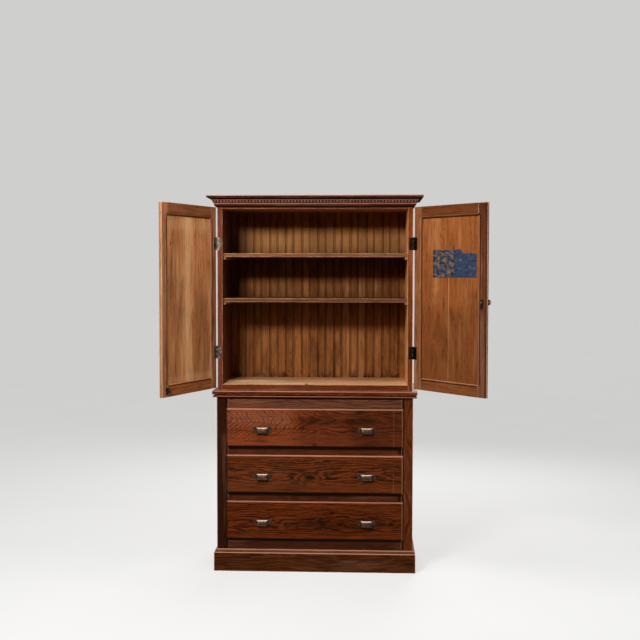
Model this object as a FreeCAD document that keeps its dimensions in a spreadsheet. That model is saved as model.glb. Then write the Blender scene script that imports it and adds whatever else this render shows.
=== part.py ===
import FreeCAD, Part
import math
import os
import Sketcher

# Two-part shop cabinet: a drawer case on a plinth, and a shelved upper case with two panelled doors.
# X runs to the right, Y to the back and Z up. The origin is on the floor, at the wall, midway across.
# The doors stand open, the drawers are shut. Lengths are in millimetres and angles in degrees.

SIZES = (
    ("base_width", 1000, "drawer case, across its front stiles"),
    ("base_depth", 400, "drawer case, from the wall to the front of the stiles"),
    ("base_side_thick", 20, "side boards of the drawer case"),
    ("frame_thick", 20, "stiles and rails of the drawer case front"),
    ("stile_width", 58, "front stiles of the drawer case"),
    ("sill_height", 173.5, "floor to the sill of the lowest drawer opening"),
    ("opening_height", 181.5, "drawer openings"),
    ("drawer_rail_height", 56, "rails between the drawer openings"),
    ("top_rail_height", 80, "rail above the top drawer"),
    ("tenon_length", 25, "tenons of all rails"),
    ("tenon_thick", 8, "tenons of the drawer case rails"),
    ("tenon_shoulder", 8, "step from a rail's edge to its tenon"),
    ("dado_depth", 6, "housings in the side boards"),
    ("back_thick", 12, "back boards"),
    ("back_rebate", 10, "width of the rebate that holds the back boards"),
    ("base_back_count", 6, "back boards of the drawer case"),
    ("back_gap", 0.2, "shrinkage gap between back boards"),
    ("plinth_thick", 15, "plinth board"),
    ("plinth_board_height", 98, "plinth board up to its step"),
    ("plinth_round", 4, "rounded top edge of the plinth board"),
    ("plinth_cap_thick", 9, "moulded cap of the plinth"),
    ("plinth_cap_height", 16, "moulded cap of the plinth"),
    ("plinth_cap_round", 8, "rounded top of the plinth cap"),
    ("plinth_rail_height", 90, "back rail on the floor, under the bottom board"),
    ("plinth_rail_thick", 20, "back rail on the floor"),
    ("bottom_board_thick", 18, "dust board under the bottom drawer"),
    ("runner_width", 55, "drawer runners, across"),
    ("runner_thick", 20, "drawer runners, high"),
    ("guide_height", 22, "guide strips beside the drawers"),
    ("drawer_overlap", 8, "lip of a drawer front over its opening, all round"),
    ("drawer_lip_thick", 15, "lip of a drawer front, proud of the stiles"),
    ("drawer_bevel", 7, "bevel round a drawer front"),
    ("drawer_tongue", 8, "part of a drawer front that enters its opening"),
    ("drawer_side_gap", 1.5, "play on each side of a drawer"),
    ("drawer_run_gap", 0.3, "play under a drawer and behind its lip"),
    ("drawer_length", 340, "drawer sides, front to back"),
    ("drawer_side_height", 165, "drawer sides"),
    ("drawer_side_thick", 12, "drawer sides and back"),
    ("drawer_bottom_thick", 8, "drawer bottoms"),
    ("drawer_bottom_rise", 8, "drawer bottom above the lower edge of the sides"),
    ("drawer_groove", 5, "grooves that hold a drawer bottom"),
    ("pull_spread", 266, "centre of the cabinet to the centre of a pull"),
    ("pull_drop", 24, "middle of a drawer front down to the lower edge of its pulls"),
    ("pull_width", 58, "hood of a bin pull"),
    ("pull_height", 30, "hood of a bin pull"),
    ("pull_depth", 22, "hood of a bin pull, out from the drawer"),
    ("pull_round", 9, "rounded upper front edge of a hood"),
    ("pull_wall", 2.5, "metal of a bin pull"),
    ("pull_flange", 18, "screw flange on each side of a hood, across"),
    ("pull_flange_height", 27, "screw flange on each side of a hood"),
    ("waist_thick", 20, "board between the two cases"),
    ("waist_overhang", 21, "waist board beyond the drawer case"),
    ("waist_round", 6, "rounded upper edge of the waist board"),
    ("waist_nose", 16.5, "moulding under the waist board, proud of the case where its round starts"),
    ("waist_nose_height", 8, "rounded nose of that moulding"),
    ("waist_nose_round", 4.3, "rounded nose of that moulding, radius"),
    ("waist_recess", 11, "set-back neck of that moulding, proud of the case"),
    ("waist_recess_height", 7, "set-back neck of that moulding"),
    ("upper_width", 992, "upper case, across its sides"),
    ("upper_setback", 5, "upper case front behind the drawer case front"),
    ("upper_side_thick", 26, "side boards of the upper case"),
    ("upper_floor_thick", 29, "floor board of the upper case"),
    ("clear_height", 894, "inside of the upper case, floor to top"),
    ("upper_top_thick", 20, "top board of the upper case"),
    ("frieze_height", 35, "rail over the top board, behind the cornice"),
    ("frieze_thick", 20, "rail behind the cornice"),
    ("upper_back_count", 11, "beaded back boards of the upper case"),
    ("bead_groove", 3.2, "square groove tool that cuts the beads, set on its corner"),
    ("upper_shelf_rise", 669, "floor board to the top of the upper shelf"),
    ("lower_shelf_rise", 439, "floor board to the top of the lower shelf"),
    ("shelf_thick", 19, "shelves"),
    ("shelf_setback", 20, "shelf front behind the case front"),
    ("shelf_play", 0.5, "play at each end of a shelf"),
    ("cleat_width", 13, "cleats under the shelf ends"),
    ("cleat_height", 12, "cleats under the shelf ends"),
    ("cleat_setback", 4, "cleat front behind the shelf front"),
    ("cornice_top_thick", 12, "board on top of the cornice"),
    ("cornice_overhang", 49.5, "top board beyond the upper case"),
    ("cornice_round", 4, "softened edge of the top board"),
    ("cornice_drop", 12, "cornice moulding below the upper case top board's upper face"),
    ("cornice_fascia", 7, "foot of the cornice, proud of the case"),
    ("cornice_fascia_height", 2, "square foot of the cornice"),
    ("cornice_ovolo", 14.5, "head of the lower round, proud of the case"),
    ("cornice_ovolo_height", 14, "lower round of the cornice"),
    ("cornice_ovolo_round", 14, "rounds of the cornice, radius"),
    ("cornice_fillet_height", 2, "square step over the lower round"),
    ("cornice_bed", 17, "flat that carries the bead strip, proud of the case"),
    ("cornice_bed_height", 16, "flat that carries the bead strip"),
    ("cornice_ledge", 28, "ledge over the bead strip, proud of the case"),
    ("cornice_ledge_height", 2, "ledge over the bead strip"),
    ("cornice_crown", 36, "head of the upper round, proud of the case"),
    ("cornice_crown_height", 8, "upper round of the cornice"),
    ("bead_strip_height", 11, "bead strip"),
    ("bead_strip_flat", 3, "flat back of the bead strip"),
    ("bead_strip_round", 5.7, "round face of the bead strip, radius"),
    ("door_thick", 18, "doors"),
    ("door_lift", 11, "door foot above the waist board"),
    ("door_top_gap", 1, "door head below the cornice"),
    ("door_stile_width", 50, "door stiles at the hinges"),
    ("left_meeting_width", 57, "meeting stile of the left door"),
    ("right_meeting_width", 47, "meeting stile of the right door, without its lip"),
    ("door_rail_width", 60, "door rails"),
    ("door_tenon_cover", 10, "wood left above and below a door tenon"),
    ("door_mould_width", 13, "moulded edge round a door panel, inside"),
    ("door_quirk_width", 3, "flat step of that moulded edge"),
    ("door_quirk_depth", 1.5, "flat step of that moulded edge"),
    ("door_bevel_width", 8, "bevelled edge round a door panel, outside"),
    ("panel_recess", 6, "panel below the inside face of a door"),
    ("panel_thick", 8, "door panels"),
    ("panel_tongue", 8, "panel edge inside the frame grooves"),
    ("panel_play", 0.5, "room for a panel to move in its grooves"),
    ("meeting_gap", 3, "between the doors"),
    ("lip_width", 6, "lip of the right door over the left door"),
    ("lip_thick", 6, "lip of the right door"),
    ("lip_gap", 1, "between the lip and the rebate it covers"),
    ("lip_play", 2, "between the end of the lip and the rebate's shoulder"),
    ("left_open_angle", 112.46, "left door, from shut"),
    ("right_open_angle", 129.08, "right door, from shut"),
    ("hinge_gap", 2, "between a shut door and the case"),
    ("hinge_height", 64, "butt hinges"),
    ("hinge_from_top", 185, "door head to the middle of its upper hinge"),
    ("hinge_from_foot", 182, "door foot to the middle of its lower hinge"),
    ("leaf_width", 20, "hinge leaves"),
    ("leaf_thick", 1.6, "hinge leaves"),
    ("knuckle_radius", 4, "hinge knuckles"),
    ("knuckle_gap", 0.3, "between neighbouring knuckles, and beside them"),
    ("pin_radius", 2, "hinge pins"),
    ("pin_play", 0.05, "running play round all pins and spindles"),
    ("pin_head_radius", 3.2, "head of a hinge pin"),
    ("pin_head_height", 2.5, "head of a hinge pin"),
    ("screw_radius", 1.6, "screw shanks"),
    ("screw_length", 11, "screw shanks in the wood"),
    ("screw_head_radius", 3.2, "screw heads"),
    ("screw_head_height", 1.6, "raised screw heads"),
    ("latch_inset", 20.5, "meeting edge of the right door to the latch spindle"),
    ("latch_rise", 450, "door foot to the latch spindle"),
    ("spindle_radius", 4, "latch spindle"),
    ("rose_radius", 11, "round plate under the latch knob"),
    ("latch_plate_thick", 2, "latch plates"),
    ("latch_plate_width", 24, "inner latch plate"),
    ("latch_plate_height", 40, "inner latch plate"),
    ("latch_plate_drop", 6, "middle of the inner latch plate below the spindle"),
    ("latch_play", 0.3, "between the latch plates and what turns on them"),
    ("knob_neck_radius", 6, "neck of the latch knob"),
    ("knob_neck_length", 20, "neck of the latch knob"),
    ("knob_radius", 14, "latch knob"),
    ("knob_half_depth", 9, "latch knob, half its thickness"),
    ("tongue_thick", 4, "latch tongue"),
    ("tongue_boss_radius", 10, "round end of the latch tongue"),
    ("tongue_width", 9, "latch tongue"),
    ("tongue_reach", 32, "latch tongue, from its spindle"),
    ("catch_inset", 41, "meeting edge of the left door to the middle of the elbow catch"),
    ("catch_rise", 13, "door foot to the foot of the catch plate"),
    ("catch_plate_width", 24, "catch plate"),
    ("catch_plate_height", 32, "catch plate"),
    ("catch_plate_thick", 1.8, "catch plate"),
    ("catch_ear_thick", 2.5, "ears of the catch plate"),
    ("catch_ear_reach", 9, "ears of the catch plate, out from it"),
    ("catch_ear_height", 12, "ears of the catch plate"),
    ("catch_pivot_rise", 17, "foot of the catch plate to the pivot"),
    ("catch_pivot_reach", 7, "inside face of the door to the pivot"),
    ("catch_hub_radius", 4, "hub of the catch lever"),
    ("catch_hub_gap", 0.4, "between the hub and the ears"),
    ("catch_arm_thick", 5, "arms of the catch lever"),
    ("catch_arm_reach", 13, "catch lever, from its pivot to the end of the hook"),
    ("catch_hook_depth", 4, "hook of the catch lever"),
    ("catch_hook_gap", 1, "under the hook"),
    ("catch_thumb_height", 15, "thumb piece over the pivot"),
    ("catch_thumb_thick", 2.5, "thumb piece"),
    ("catch_thumb_set", 1.5, "thumb piece behind the pivot's middle"),
    ("catch_spring_thick", 0.6, "leaf spring behind the thumb piece"),
    ("catch_spring_height", 10, "leaf spring behind the thumb piece"),
    ("catch_spring_width", 9, "leaf spring behind the thumb piece"),
    ("strike_width", 14, "strike on the cabinet floor"),
    ("strike_depth", 10, "strike plate, front to back"),
    ("strike_thick", 1.2, "strike plate"),
    ("strike_lip_height", 3.2, "upstand of the strike"),
    ("strike_lip_thick", 2.5, "upstand of the strike"),
    ("strike_play", 1.5, "between the upstand and the hook"),
)

DRAWERS = ("bottom", "middle", "top")
UPRIGHT = FreeCAD.Vector(0, 0, 1)
SIDEWAYS = FreeCAD.Vector(1, 0, 0)
BACKWARD = FreeCAD.Vector(0, 1, 0)


class Size:
    """A length with the sheet formula that gives it, so that sums of sizes stay bound to the sheet."""

    def __init__(self, formula, value):
        self.formula = formula
        self.value = value

    def joined(self, sign, other, value, swapped=False):
        """The size that a sum, difference, product or quotient gives."""
        formula = other.formula if isinstance(other, Size) else repr(other)
        first, second = (formula, self.formula) if swapped else (self.formula, formula)
        return Size(f"({first} {sign} {second})", value)

    def __add__(self, other):
        return self.joined("+", other, self.value + plain(other))

    def __radd__(self, other):
        return self.joined("+", other, plain(other) + self.value, swapped=True)

    def __sub__(self, other):
        return self.joined("-", other, self.value - plain(other))

    def __rsub__(self, other):
        return self.joined("-", other, plain(other) - self.value, swapped=True)

    def __mul__(self, other):
        return self.joined("*", other, self.value * plain(other))

    def __rmul__(self, other):
        return self.joined("*", other, plain(other) * self.value, swapped=True)

    def __truediv__(self, other):
        return self.joined("/", other, self.value / plain(other))

    def __neg__(self):
        return Size(f"(-1 * {self.formula})", -self.value)


class SizeTable:
    """The driving dimensions, one attribute for each cell of the sheet."""

    def __init__(self, sheet, rows):
        for row, (alias, value, note) in enumerate(rows, start=1):
            sheet.set(f"A{row}", alias)
            sheet.set(f"B{row}", str(value))
            sheet.set(f"C{row}", note)
            sheet.setAlias(f"B{row}", alias)
            setattr(self, alias, Size(f"{sheet.Name}.{alias}", float(value)))


def plain(number):
    """The number itself, or a size's value."""
    return number.value if isinstance(number, Size) else number


doc = FreeCAD.newDocument("shop_cabinet")
s = SizeTable(doc.addObject("Spreadsheet::Sheet", "Sizes"), SIZES)
doc.recompute()
nodes = []


# Shapes that the pieces are made from

def bind(thing, path, size):
    """Tie one property to the sheet."""
    if isinstance(size, Size):
        thing.setExpression(path, size.formula)
    else:
        thing.setExpression(path, repr(size))


def place(thing, x=0, y=0, z=0, turn=0, about=UPRIGHT):
    """Set where a thing stands, and its turn."""
    thing.Placement.Rotation = FreeCAD.Rotation(about, plain(turn))
    for axis, value in zip("xyz", (x, y, z)):
        bind(thing, f"Placement.Base.{axis}", value)
    if isinstance(turn, Size):
        bind(thing, "Placement.Rotation.Angle", turn)
    return thing


def board(name, x, y, z):
    """A square-edged piece that fills three spans, each given as (low, high)."""
    box = doc.addObject("Part::Box", name)
    for path, (low, high) in zip(("Length", "Width", "Height"), (x, y, z)):
        bind(box, path, high - low)
    return place(box, x[0], y[0], z[0])


def rod(name, radius, length, x, y, z, turn=0, about=SIDEWAYS):
    """A round bar that starts at a point and runs along Z, or along the way that turn gives."""
    bar = doc.addObject("Part::Cylinder", name)
    bind(bar, "Radius", radius)
    bind(bar, "Height", length)
    return place(bar, x, y, z, turn, about)


def frustum(name, y, near_x, near_z, far_x, far_z):
    """A block whose section changes evenly from its low y to its high y."""
    block = doc.addObject("Part::Wedge", name)
    spans = {"Y": y, "X": near_x, "Z": near_z, "X2": far_x, "Z2": far_z}
    for axis, (low, high) in spans.items():
        bind(block, f"{axis}min", low)
        bind(block, f"{axis}max", high)
    return block


def fuse(name, *pieces):
    """One solid from pieces that meet."""
    whole = doc.addObject("Part::MultiFuse", name)
    whole.Shapes = list(pieces)
    whole.Refine = True
    return whole


def group(name, *pieces):
    """Separate solids under one name."""
    several = doc.addObject("Part::Compound", name)
    several.Links = list(pieces)
    return several


def cut(name, piece, *tools):
    """A piece with the tools' shapes taken out of it."""
    rest = doc.addObject("Part::Cut", name)
    rest.Base = piece
    rest.Tool = tools[0] if len(tools) == 1 else fuse(name + "_cuts", *tools)
    rest.Refine = True
    return rest


def node(label, thing):
    """Keep a finished piece under the name of its file."""
    thing.Label = label
    nodes.append(thing)
    return thing


def arc_between(start, end, radius):
    """A round stretch of an outline; a positive radius swells and a negative one is hollow."""
    chord = end - start
    middle = (start + end) * 0.5
    rise = math.sqrt(radius * radius - chord.Length * chord.Length / 4)
    inward = FreeCAD.Vector(-chord.y, chord.x, 0).normalize()
    centre = middle + inward * math.copysign(rise, radius)
    first, last = (start, end) if radius > 0 else (end, start)
    angles = [math.atan2(point.y - centre.y, point.x - centre.x) for point in (first, last)]
    return Part.ArcOfCircle(Part.Circle(centre, UPRIGHT, abs(radius)), *angles)


def pin_corner(sketch, geometry, corner, axis, size):
    """Fix one coordinate of an outline's corner; a corner at nought lies on the axis."""
    if plain(size) == 0:
        line = {"DistanceX": -2, "DistanceY": -1}[axis]
        sketch.addConstraint(Sketcher.Constraint("PointOnObject", geometry, corner, line))
        return
    index = sketch.addConstraint(Sketcher.Constraint(axis, -1, 1, geometry, corner, plain(size)))
    bind(sketch, f"Constraints[{index}]", size)


def draw(sketch, outline):
    """Draw a closed outline of (across, up) corners; a third item makes the stretch to a corner round."""
    corners = [FreeCAD.Vector(plain(corner[0]), plain(corner[1]), 0) for corner in outline]
    count = len(outline)
    starts = []
    for index in range(count):
        start, end = corners[index], corners[(index + 1) % count]
        bend = outline[(index + 1) % count][2:]
        if bend:
            geometry = sketch.addGeometry(arc_between(start, end, plain(bend[0])))
            starts.append((geometry, 1, 2) if plain(bend[0]) > 0 else (geometry, 2, 1))
        else:
            geometry = sketch.addGeometry(Part.LineSegment(start, end))
            starts.append((geometry, 1, 2))
    for index in range(count):
        geometry, _, last = starts[index]
        following, first, _ = starts[(index + 1) % count]
        sketch.addConstraint(Sketcher.Constraint("Coincident", geometry, last, following, first))
    for (geometry, first, _), corner in zip(starts, outline):
        pin_corner(sketch, geometry, first, "DistanceX", corner[0])
        pin_corner(sketch, geometry, first, "DistanceY", corner[1])
    for index in range(count):
        bend = outline[(index + 1) % count][2:]
        if bend:
            radius = bend[0] if plain(bend[0]) > 0 else -bend[0]
            bound = sketch.addConstraint(Sketcher.Constraint("Radius", index, plain(radius)))
            bind(sketch, f"Constraints[{bound}]", radius)


def padded(name, plane, outline, length):
    """A body with one outline, on one of its planes, drawn out to a length."""
    body = doc.addObject("PartDesign::Body", name)
    sketch = body.newObject("Sketcher::SketchObject", name + "_outline")
    support = next(item for item in body.Origin.OriginFeatures if item.Role == plane)
    sketch.AttachmentSupport = [(support, "")]
    sketch.MapMode = "FlatFace"
    draw(sketch, outline)
    pad = body.newObject("PartDesign::Pad", name + "_pad")
    pad.Profile = sketch
    bind(pad, "Length", length)
    return body


def soft_slab(name, width, depth, thick, radius):
    """A board whose upper front and side edges are rounded; its low corner is at the body's origin."""
    body = padded(name, "XY_Plane", [(0, 0), (width, 0), (width, depth), (0, depth)], thick)
    doc.recompute()
    pad = body.Tip
    edges = []
    for index, edge in enumerate(pad.Shape.Edges, start=1):
        box = edge.BoundBox
        if box.ZMin > plain(thick) / 2 and box.YMin < plain(depth) / 2:
            edges.append(f"Edge{index}")
    fillet = body.newObject("PartDesign::Fillet", name + "_fillet")
    fillet.Base = (pad, edges)
    bind(fillet, "Radius", radius)
    return body


def moulding(name, outline, half_width, depth, foot, reach=None):
    """A mitred moulding in three pieces: across the front, and back to the wall on both sides.

    The outline's corners are (out from the case, up from the foot). Its reach is its farthest corner,
    or is given where a round stretch goes farther.
    """
    reach = reach or max((corner[0] for corner in outline), key=plain)
    head = max((corner[1] for corner in outline), key=plain)
    runs = (
        ("front", -half_width, half_width, reach, reach, (0, -depth), 180),
        ("left", -depth, -back_line, reach, 0, (-half_width, 0), 90),
        ("right", back_line, depth, 0, reach, (half_width, 0), -90),
    )
    pieces = []
    for end, start, stop, low_mitre, high_mitre, (x, y), turn in runs:
        bar = padded(f"{name}_{end}_bar", "YZ_Plane", outline, stop + high_mitre - (start - low_mitre))
        place(bar, x=start - low_mitre)
        mitre = frustum(f"{name}_{end}_mitre", (0, reach), (start, stop), (0, head),
                        (start - low_mitre, stop + high_mitre), (0, head))
        piece = doc.addObject("Part::Common", f"{name}_{end}")
        piece.Base = bar
        piece.Tool = mitre
        pieces.append(place(piece, x, y, foot, turn))
    return group(name, *pieces)


def screw(name, x, y, z, into):
    """A raised-head wood screw whose head stands on y; into is 1 for the back and -1 for the front."""
    turn = -90 * into
    shank = rod(name + "_shank", s.screw_radius, s.screw_length, x, y, z, turn)
    head = rod(name + "_head", s.screw_head_radius, s.screw_head_height, x, y, z, -turn)
    return fuse(name, shank, head)


def screw_hole(name, x, y, z, into):
    """The hole for a screw's shank."""
    return rod(name, s.screw_radius + s.pin_play, s.screw_length, x, y, z, -90 * into)


# Levels and planes that several pieces share

back_line = 0
base_half = s.base_width / 2
base_front = -s.base_depth
frame_back = base_front + s.frame_thick
side_inside = base_half - s.base_side_thick
stile_inside = base_half - s.stile_width
back_face = -s.back_thick
drawer_pitch = s.opening_height + s.drawer_rail_height
base_top = s.sill_height + drawer_pitch * 2 + s.opening_height + s.top_rail_height
waist_top = base_top + s.waist_thick

upper_half = s.upper_width / 2
upper_inside = upper_half - s.upper_side_thick
upper_depth = s.base_depth - s.upper_setback
upper_front = -upper_depth
floor_top = waist_top + s.upper_floor_thick
upper_top_foot = floor_top + s.clear_height
upper_top_head = upper_top_foot + s.upper_top_thick
frieze_top = upper_top_head + s.frieze_height
cornice_foot = upper_top_head - s.cornice_drop
shelf_front = upper_front + s.shelf_setback

door_foot = waist_top + s.door_lift
door_head = cornice_foot - s.door_top_gap
pin_x = upper_half + s.knuckle_radius
pin_y = upper_front - s.hinge_gap / 2
hinge_heights = (door_foot + s.hinge_from_foot, door_head - s.hinge_from_top)


def mirrored(span):
    """A span on the other side of the middle."""
    return (-span[1], -span[0])


def sill(index):
    """The sill of a drawer opening, counted from the floor up."""
    return s.sill_height + drawer_pitch * index


# Drawer case

def rail_span(index):
    """The height that a rail of the drawer case takes up, counted from the floor up."""
    if index == 0:
        return (s.plinth_rail_height, s.sill_height)
    if index == len(DRAWERS):
        return (base_top - s.top_rail_height, base_top)
    return (sill(index) - s.drawer_rail_height, sill(index))


def tenon(name, x, rail):
    """A tenon, or the mortise for it, in the middle of the frame's thickness."""
    middle = base_front + s.frame_thick / 2
    y = (middle - s.tenon_thick / 2, middle + s.tenon_thick / 2)
    return board(name, x, y, (rail[0] + s.tenon_shoulder, rail[1] - s.tenon_shoulder))


def base_stile(side):
    """A front stile with the mortises of the four rails."""
    x = (stile_inside, base_half)
    mortise = (stile_inside, stile_inside + s.tenon_length)
    if side == "left":
        x, mortise = mirrored(x), mirrored(mortise)
    name = f"base_stile_{side}"
    blank = board(name + "_blank", x, (base_front, frame_back), (0, base_top))
    mortises = [tenon(f"{name}_mortise_{i}", mortise, rail_span(i)) for i in range(len(DRAWERS) + 1)]
    node(name, cut(name, blank, *mortises))


def base_rail(name, index):
    """A front rail with a tenon at each end."""
    rail = rail_span(index)
    face = board(name + "_face", (-stile_inside, stile_inside), (base_front, frame_back), rail)
    ends = stile_inside + s.tenon_length
    return fuse(name, face, tenon(name + "_tenons", (-ends, ends), rail))


def base_side(side):
    """A side board, rebated for the back boards and housed for the bottom board."""
    name = f"base_side_{side}"
    x = (side_inside, base_half)
    rebate = (side_inside, side_inside + s.back_rebate)
    housing = (side_inside, side_inside + s.dado_depth)
    if side == "left":
        x, rebate, housing = mirrored(x), mirrored(rebate), mirrored(housing)
    whole = board(name + "_blank", x, (frame_back, back_line), (0, base_top))
    back = board(name + "_rebate", rebate, (back_face, back_line), (s.plinth_rail_height, base_top))
    shelf = board(name + "_housing", housing, (frame_back, back_face), bottom_board_span)
    node(name, cut(name, whole, back, shelf))


def back_boards(name, half_width, z, count):
    """A row of upright back boards, as separate blanks."""
    pitch = half_width * 2 / count
    blanks = []
    for index in range(int(plain(count))):
        left = pitch * index - half_width
        x = (left + s.back_gap / 2, left + pitch - s.back_gap / 2)
        blanks.append(board(f"{name}_{index + 1}", x, (back_face, back_line), z))
    return blanks


def drawer_supports():
    """Runners under the drawers and guides beside them, on both sides of each opening."""
    runners, guides = [], []
    length = (frame_back, back_face)
    for index, drawer in enumerate(DRAWERS):
        level = sill(index)
        runner = (side_inside - s.runner_width, side_inside)
        guide = (stile_inside, side_inside)
        runner_z = (level - s.runner_thick, level)
        guide_z = (level, level + s.guide_height)
        for side, turned in (("right", tuple), ("left", mirrored)):
            runners.append(board(f"{drawer}_runner_{side}", turned(runner), length, runner_z))
            guides.append(board(f"{drawer}_guide_{side}", turned(guide), length, guide_z))
    node("drawer_runners", group("drawer_runners", *runners))
    node("drawer_guides", group("drawer_guides", *guides))


bottom_board_span = (s.plinth_rail_height, s.plinth_rail_height + s.bottom_board_thick)
for side in ("left", "right"):
    base_side(side)
    base_stile(side)
node("base_bottom_rail", base_rail("base_bottom_rail", 0))
node("base_drawer_rails", group("base_drawer_rails", *(base_rail(f"drawer_rail_{i}", i) for i in (1, 2))))
node("base_top_rail", base_rail("base_top_rail", len(DRAWERS)))
housed = side_inside + s.dado_depth
node("base_bottom_board", board("base_bottom_board", (-housed, housed), (frame_back, back_face),
                                bottom_board_span))
base_back_half = side_inside + s.back_rebate
base_backs = back_boards("base_back", base_back_half, (s.plinth_rail_height, base_top), s.base_back_count)
node("base_back_boards", group("base_back_boards", *base_backs))
node("plinth_back_rail", board("plinth_back_rail", (-side_inside, side_inside),
                               (-s.plinth_rail_thick, back_line), (0, s.plinth_rail_height)))
drawer_supports()

plinth_top = s.plinth_board_height + s.plinth_cap_height
plinth_outline = [
    (0, 0),
    (s.plinth_thick, 0),
    (s.plinth_thick, s.plinth_board_height - s.plinth_round),
    (s.plinth_thick - s.plinth_round, s.plinth_board_height, s.plinth_round),
    (s.plinth_cap_thick, s.plinth_board_height),
    (s.plinth_cap_thick, plinth_top - s.plinth_cap_round),
    (s.plinth_cap_thick - s.plinth_cap_round, plinth_top, s.plinth_cap_round),
    (0, plinth_top),
]
node("plinth_boards", moulding("plinth_boards", plinth_outline, base_half, s.base_depth, 0))


# Waist

waist_half = base_half + s.waist_overhang
waist_depth = s.base_depth + s.waist_overhang
waist_board = soft_slab("waist_board", waist_half * 2, waist_depth, s.waist_thick, s.waist_round)
node("waist_board", place(waist_board, -waist_half, -waist_depth, base_top))

neck_head = s.waist_nose_height + s.waist_recess_height
waist_outline = [
    (0, 0),
    (s.waist_nose, 0),
    (s.waist_nose, s.waist_nose_height, s.waist_nose_round),
    (s.waist_recess, s.waist_nose_height),
    (s.waist_recess, neck_head),
    (0, neck_head),
]
nose_bulge = s.waist_nose + s.waist_nose_round
node("waist_moulding", moulding("waist_moulding", waist_outline, base_half, s.base_depth,
                                base_top - neck_head, nose_bulge))


# Upper case

def hinge_mortises(name, side, face, depth_span):
    """Seats for the two hinge leaves of one side, and their screw holes, in the pin's own frame."""
    tools = []
    u = (s.knuckle_radius, s.knuckle_radius + s.knuckle_gap + s.leaf_width)
    x = u if side == "left" else mirrored(u)
    for number, level in enumerate(hinge_heights, start=1):
        z = (level - s.hinge_height / 2, level + s.hinge_height / 2)
        tools.append(board(f"{name}_seat_{number}", x, depth_span, z))
        for spot, (hole_x, hole_z) in enumerate(leaf_screws(side, level), start=1):
            start = face * s.hinge_gap / 2
            tools.append(screw_hole(f"{name}_hole_{number}_{spot}", hole_x, start, hole_z, face))
    return fuse(name, *tools)


def leaf_screws(side, level):
    """Where the three screws of a hinge leaf go, across from the pin and up."""
    across = s.knuckle_radius + s.knuckle_gap + s.leaf_width / 2
    shift = s.leaf_width / 5
    hand = 1 if side == "left" else -1
    spread = s.hinge_height / 3
    return (
        ((across - shift) * hand, level - spread),
        ((across + shift) * hand, level),
        ((across - shift) * hand, level + spread),
    )


def leaf_span(face):
    """The thickness of a hinge leaf; face is 1 for the case and -1 for the door."""
    near = s.hinge_gap / 2
    return (near, near + s.leaf_thick) if face > 0 else (-(near + s.leaf_thick), -near)


def at_pin(thing, side, turn=0):
    """Stand a thing that is made about the hinge pin where that pin is."""
    return place(thing, pin_x if side == "right" else -pin_x, pin_y, 0, turn)


def upper_side(side):
    """A side board, rebated for the back, housed for floor and top, and let in for the hinges."""
    name = f"upper_side_{side}"
    x = (upper_inside, upper_half)
    rebate = (upper_inside, upper_inside + s.back_rebate)
    housing = (upper_inside, upper_inside + s.dado_depth)
    if side == "left":
        x, rebate, housing = mirrored(x), mirrored(rebate), mirrored(housing)
    whole = board(name + "_blank", x, (upper_front, back_line), (waist_top, frieze_top))
    back = board(name + "_rebate", rebate, (back_face, back_line), (waist_top, frieze_top))
    floor = board(name + "_floor", housing, (upper_front, back_face), (waist_top, floor_top))
    top = board(name + "_top", housing, (upper_front, back_face), (upper_top_foot, upper_top_head))
    seats = at_pin(hinge_mortises(name + "_hinges", side, 1, leaf_span(1)), side)
    node(name, cut(name, whole, back, floor, top, seats))


def beaded_boards():
    """The beaded back boards: a groove at each joint and down the middle of each board."""
    half = upper_inside + s.back_rebate
    blanks = back_boards("upper_back", half, (waist_top, frieze_top), s.upper_back_count)
    boards = group("upper_back_blanks", *blanks)
    pitch = half * 2 / (s.upper_back_count * 2)
    grooves = []
    for index in range(1, int(plain(s.upper_back_count)) * 2):
        groove = doc.addObject("Part::Box", f"bead_groove_{index}")
        bind(groove, "Length", s.bead_groove)
        bind(groove, "Width", s.bead_groove)
        bind(groove, "Height", frieze_top - waist_top)
        corner = back_face - s.bead_groove * math.sqrt(0.5)
        grooves.append(place(groove, pitch * index - half, corner, waist_top, 45))
    node("upper_back_boards", cut("upper_back_boards", boards, group("bead_grooves", *grooves)))


for side in ("left", "right"):
    upper_side(side)
upper_housed = upper_inside + s.dado_depth
upper_levels = {"upper_floor": (waist_top, floor_top), "upper_top": (upper_top_foot, upper_top_head)}
for label, span in upper_levels.items():
    node(label, board(label, (-upper_housed, upper_housed), (upper_front, back_face), span))
node("frieze_rail", board("frieze_rail", (-upper_inside, upper_inside),
                          (upper_front, upper_front + s.frieze_thick), (upper_top_head, frieze_top)))
beaded_boards()

cleats = []
for shelf, rise in (("upper_shelf", s.upper_shelf_rise), ("lower_shelf", s.lower_shelf_rise)):
    shelf_top = floor_top + rise
    shelf_foot = shelf_top - s.shelf_thick
    shelf_half = upper_inside - s.shelf_play
    node(shelf, board(shelf, (-shelf_half, shelf_half), (shelf_front, back_face), (shelf_foot, shelf_top)))
    cleat = (upper_inside - s.cleat_width, upper_inside)
    cleat_y = (shelf_front + s.cleat_setback, back_face)
    cleat_z = (shelf_foot - s.cleat_height, shelf_foot)
    for side, turned in (("right", tuple), ("left", mirrored)):
        cleats.append(board(f"{shelf}_cleat_{side}", turned(cleat), cleat_y, cleat_z))
node("shelf_cleats", group("shelf_cleats", *cleats))


# Cornice

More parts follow.
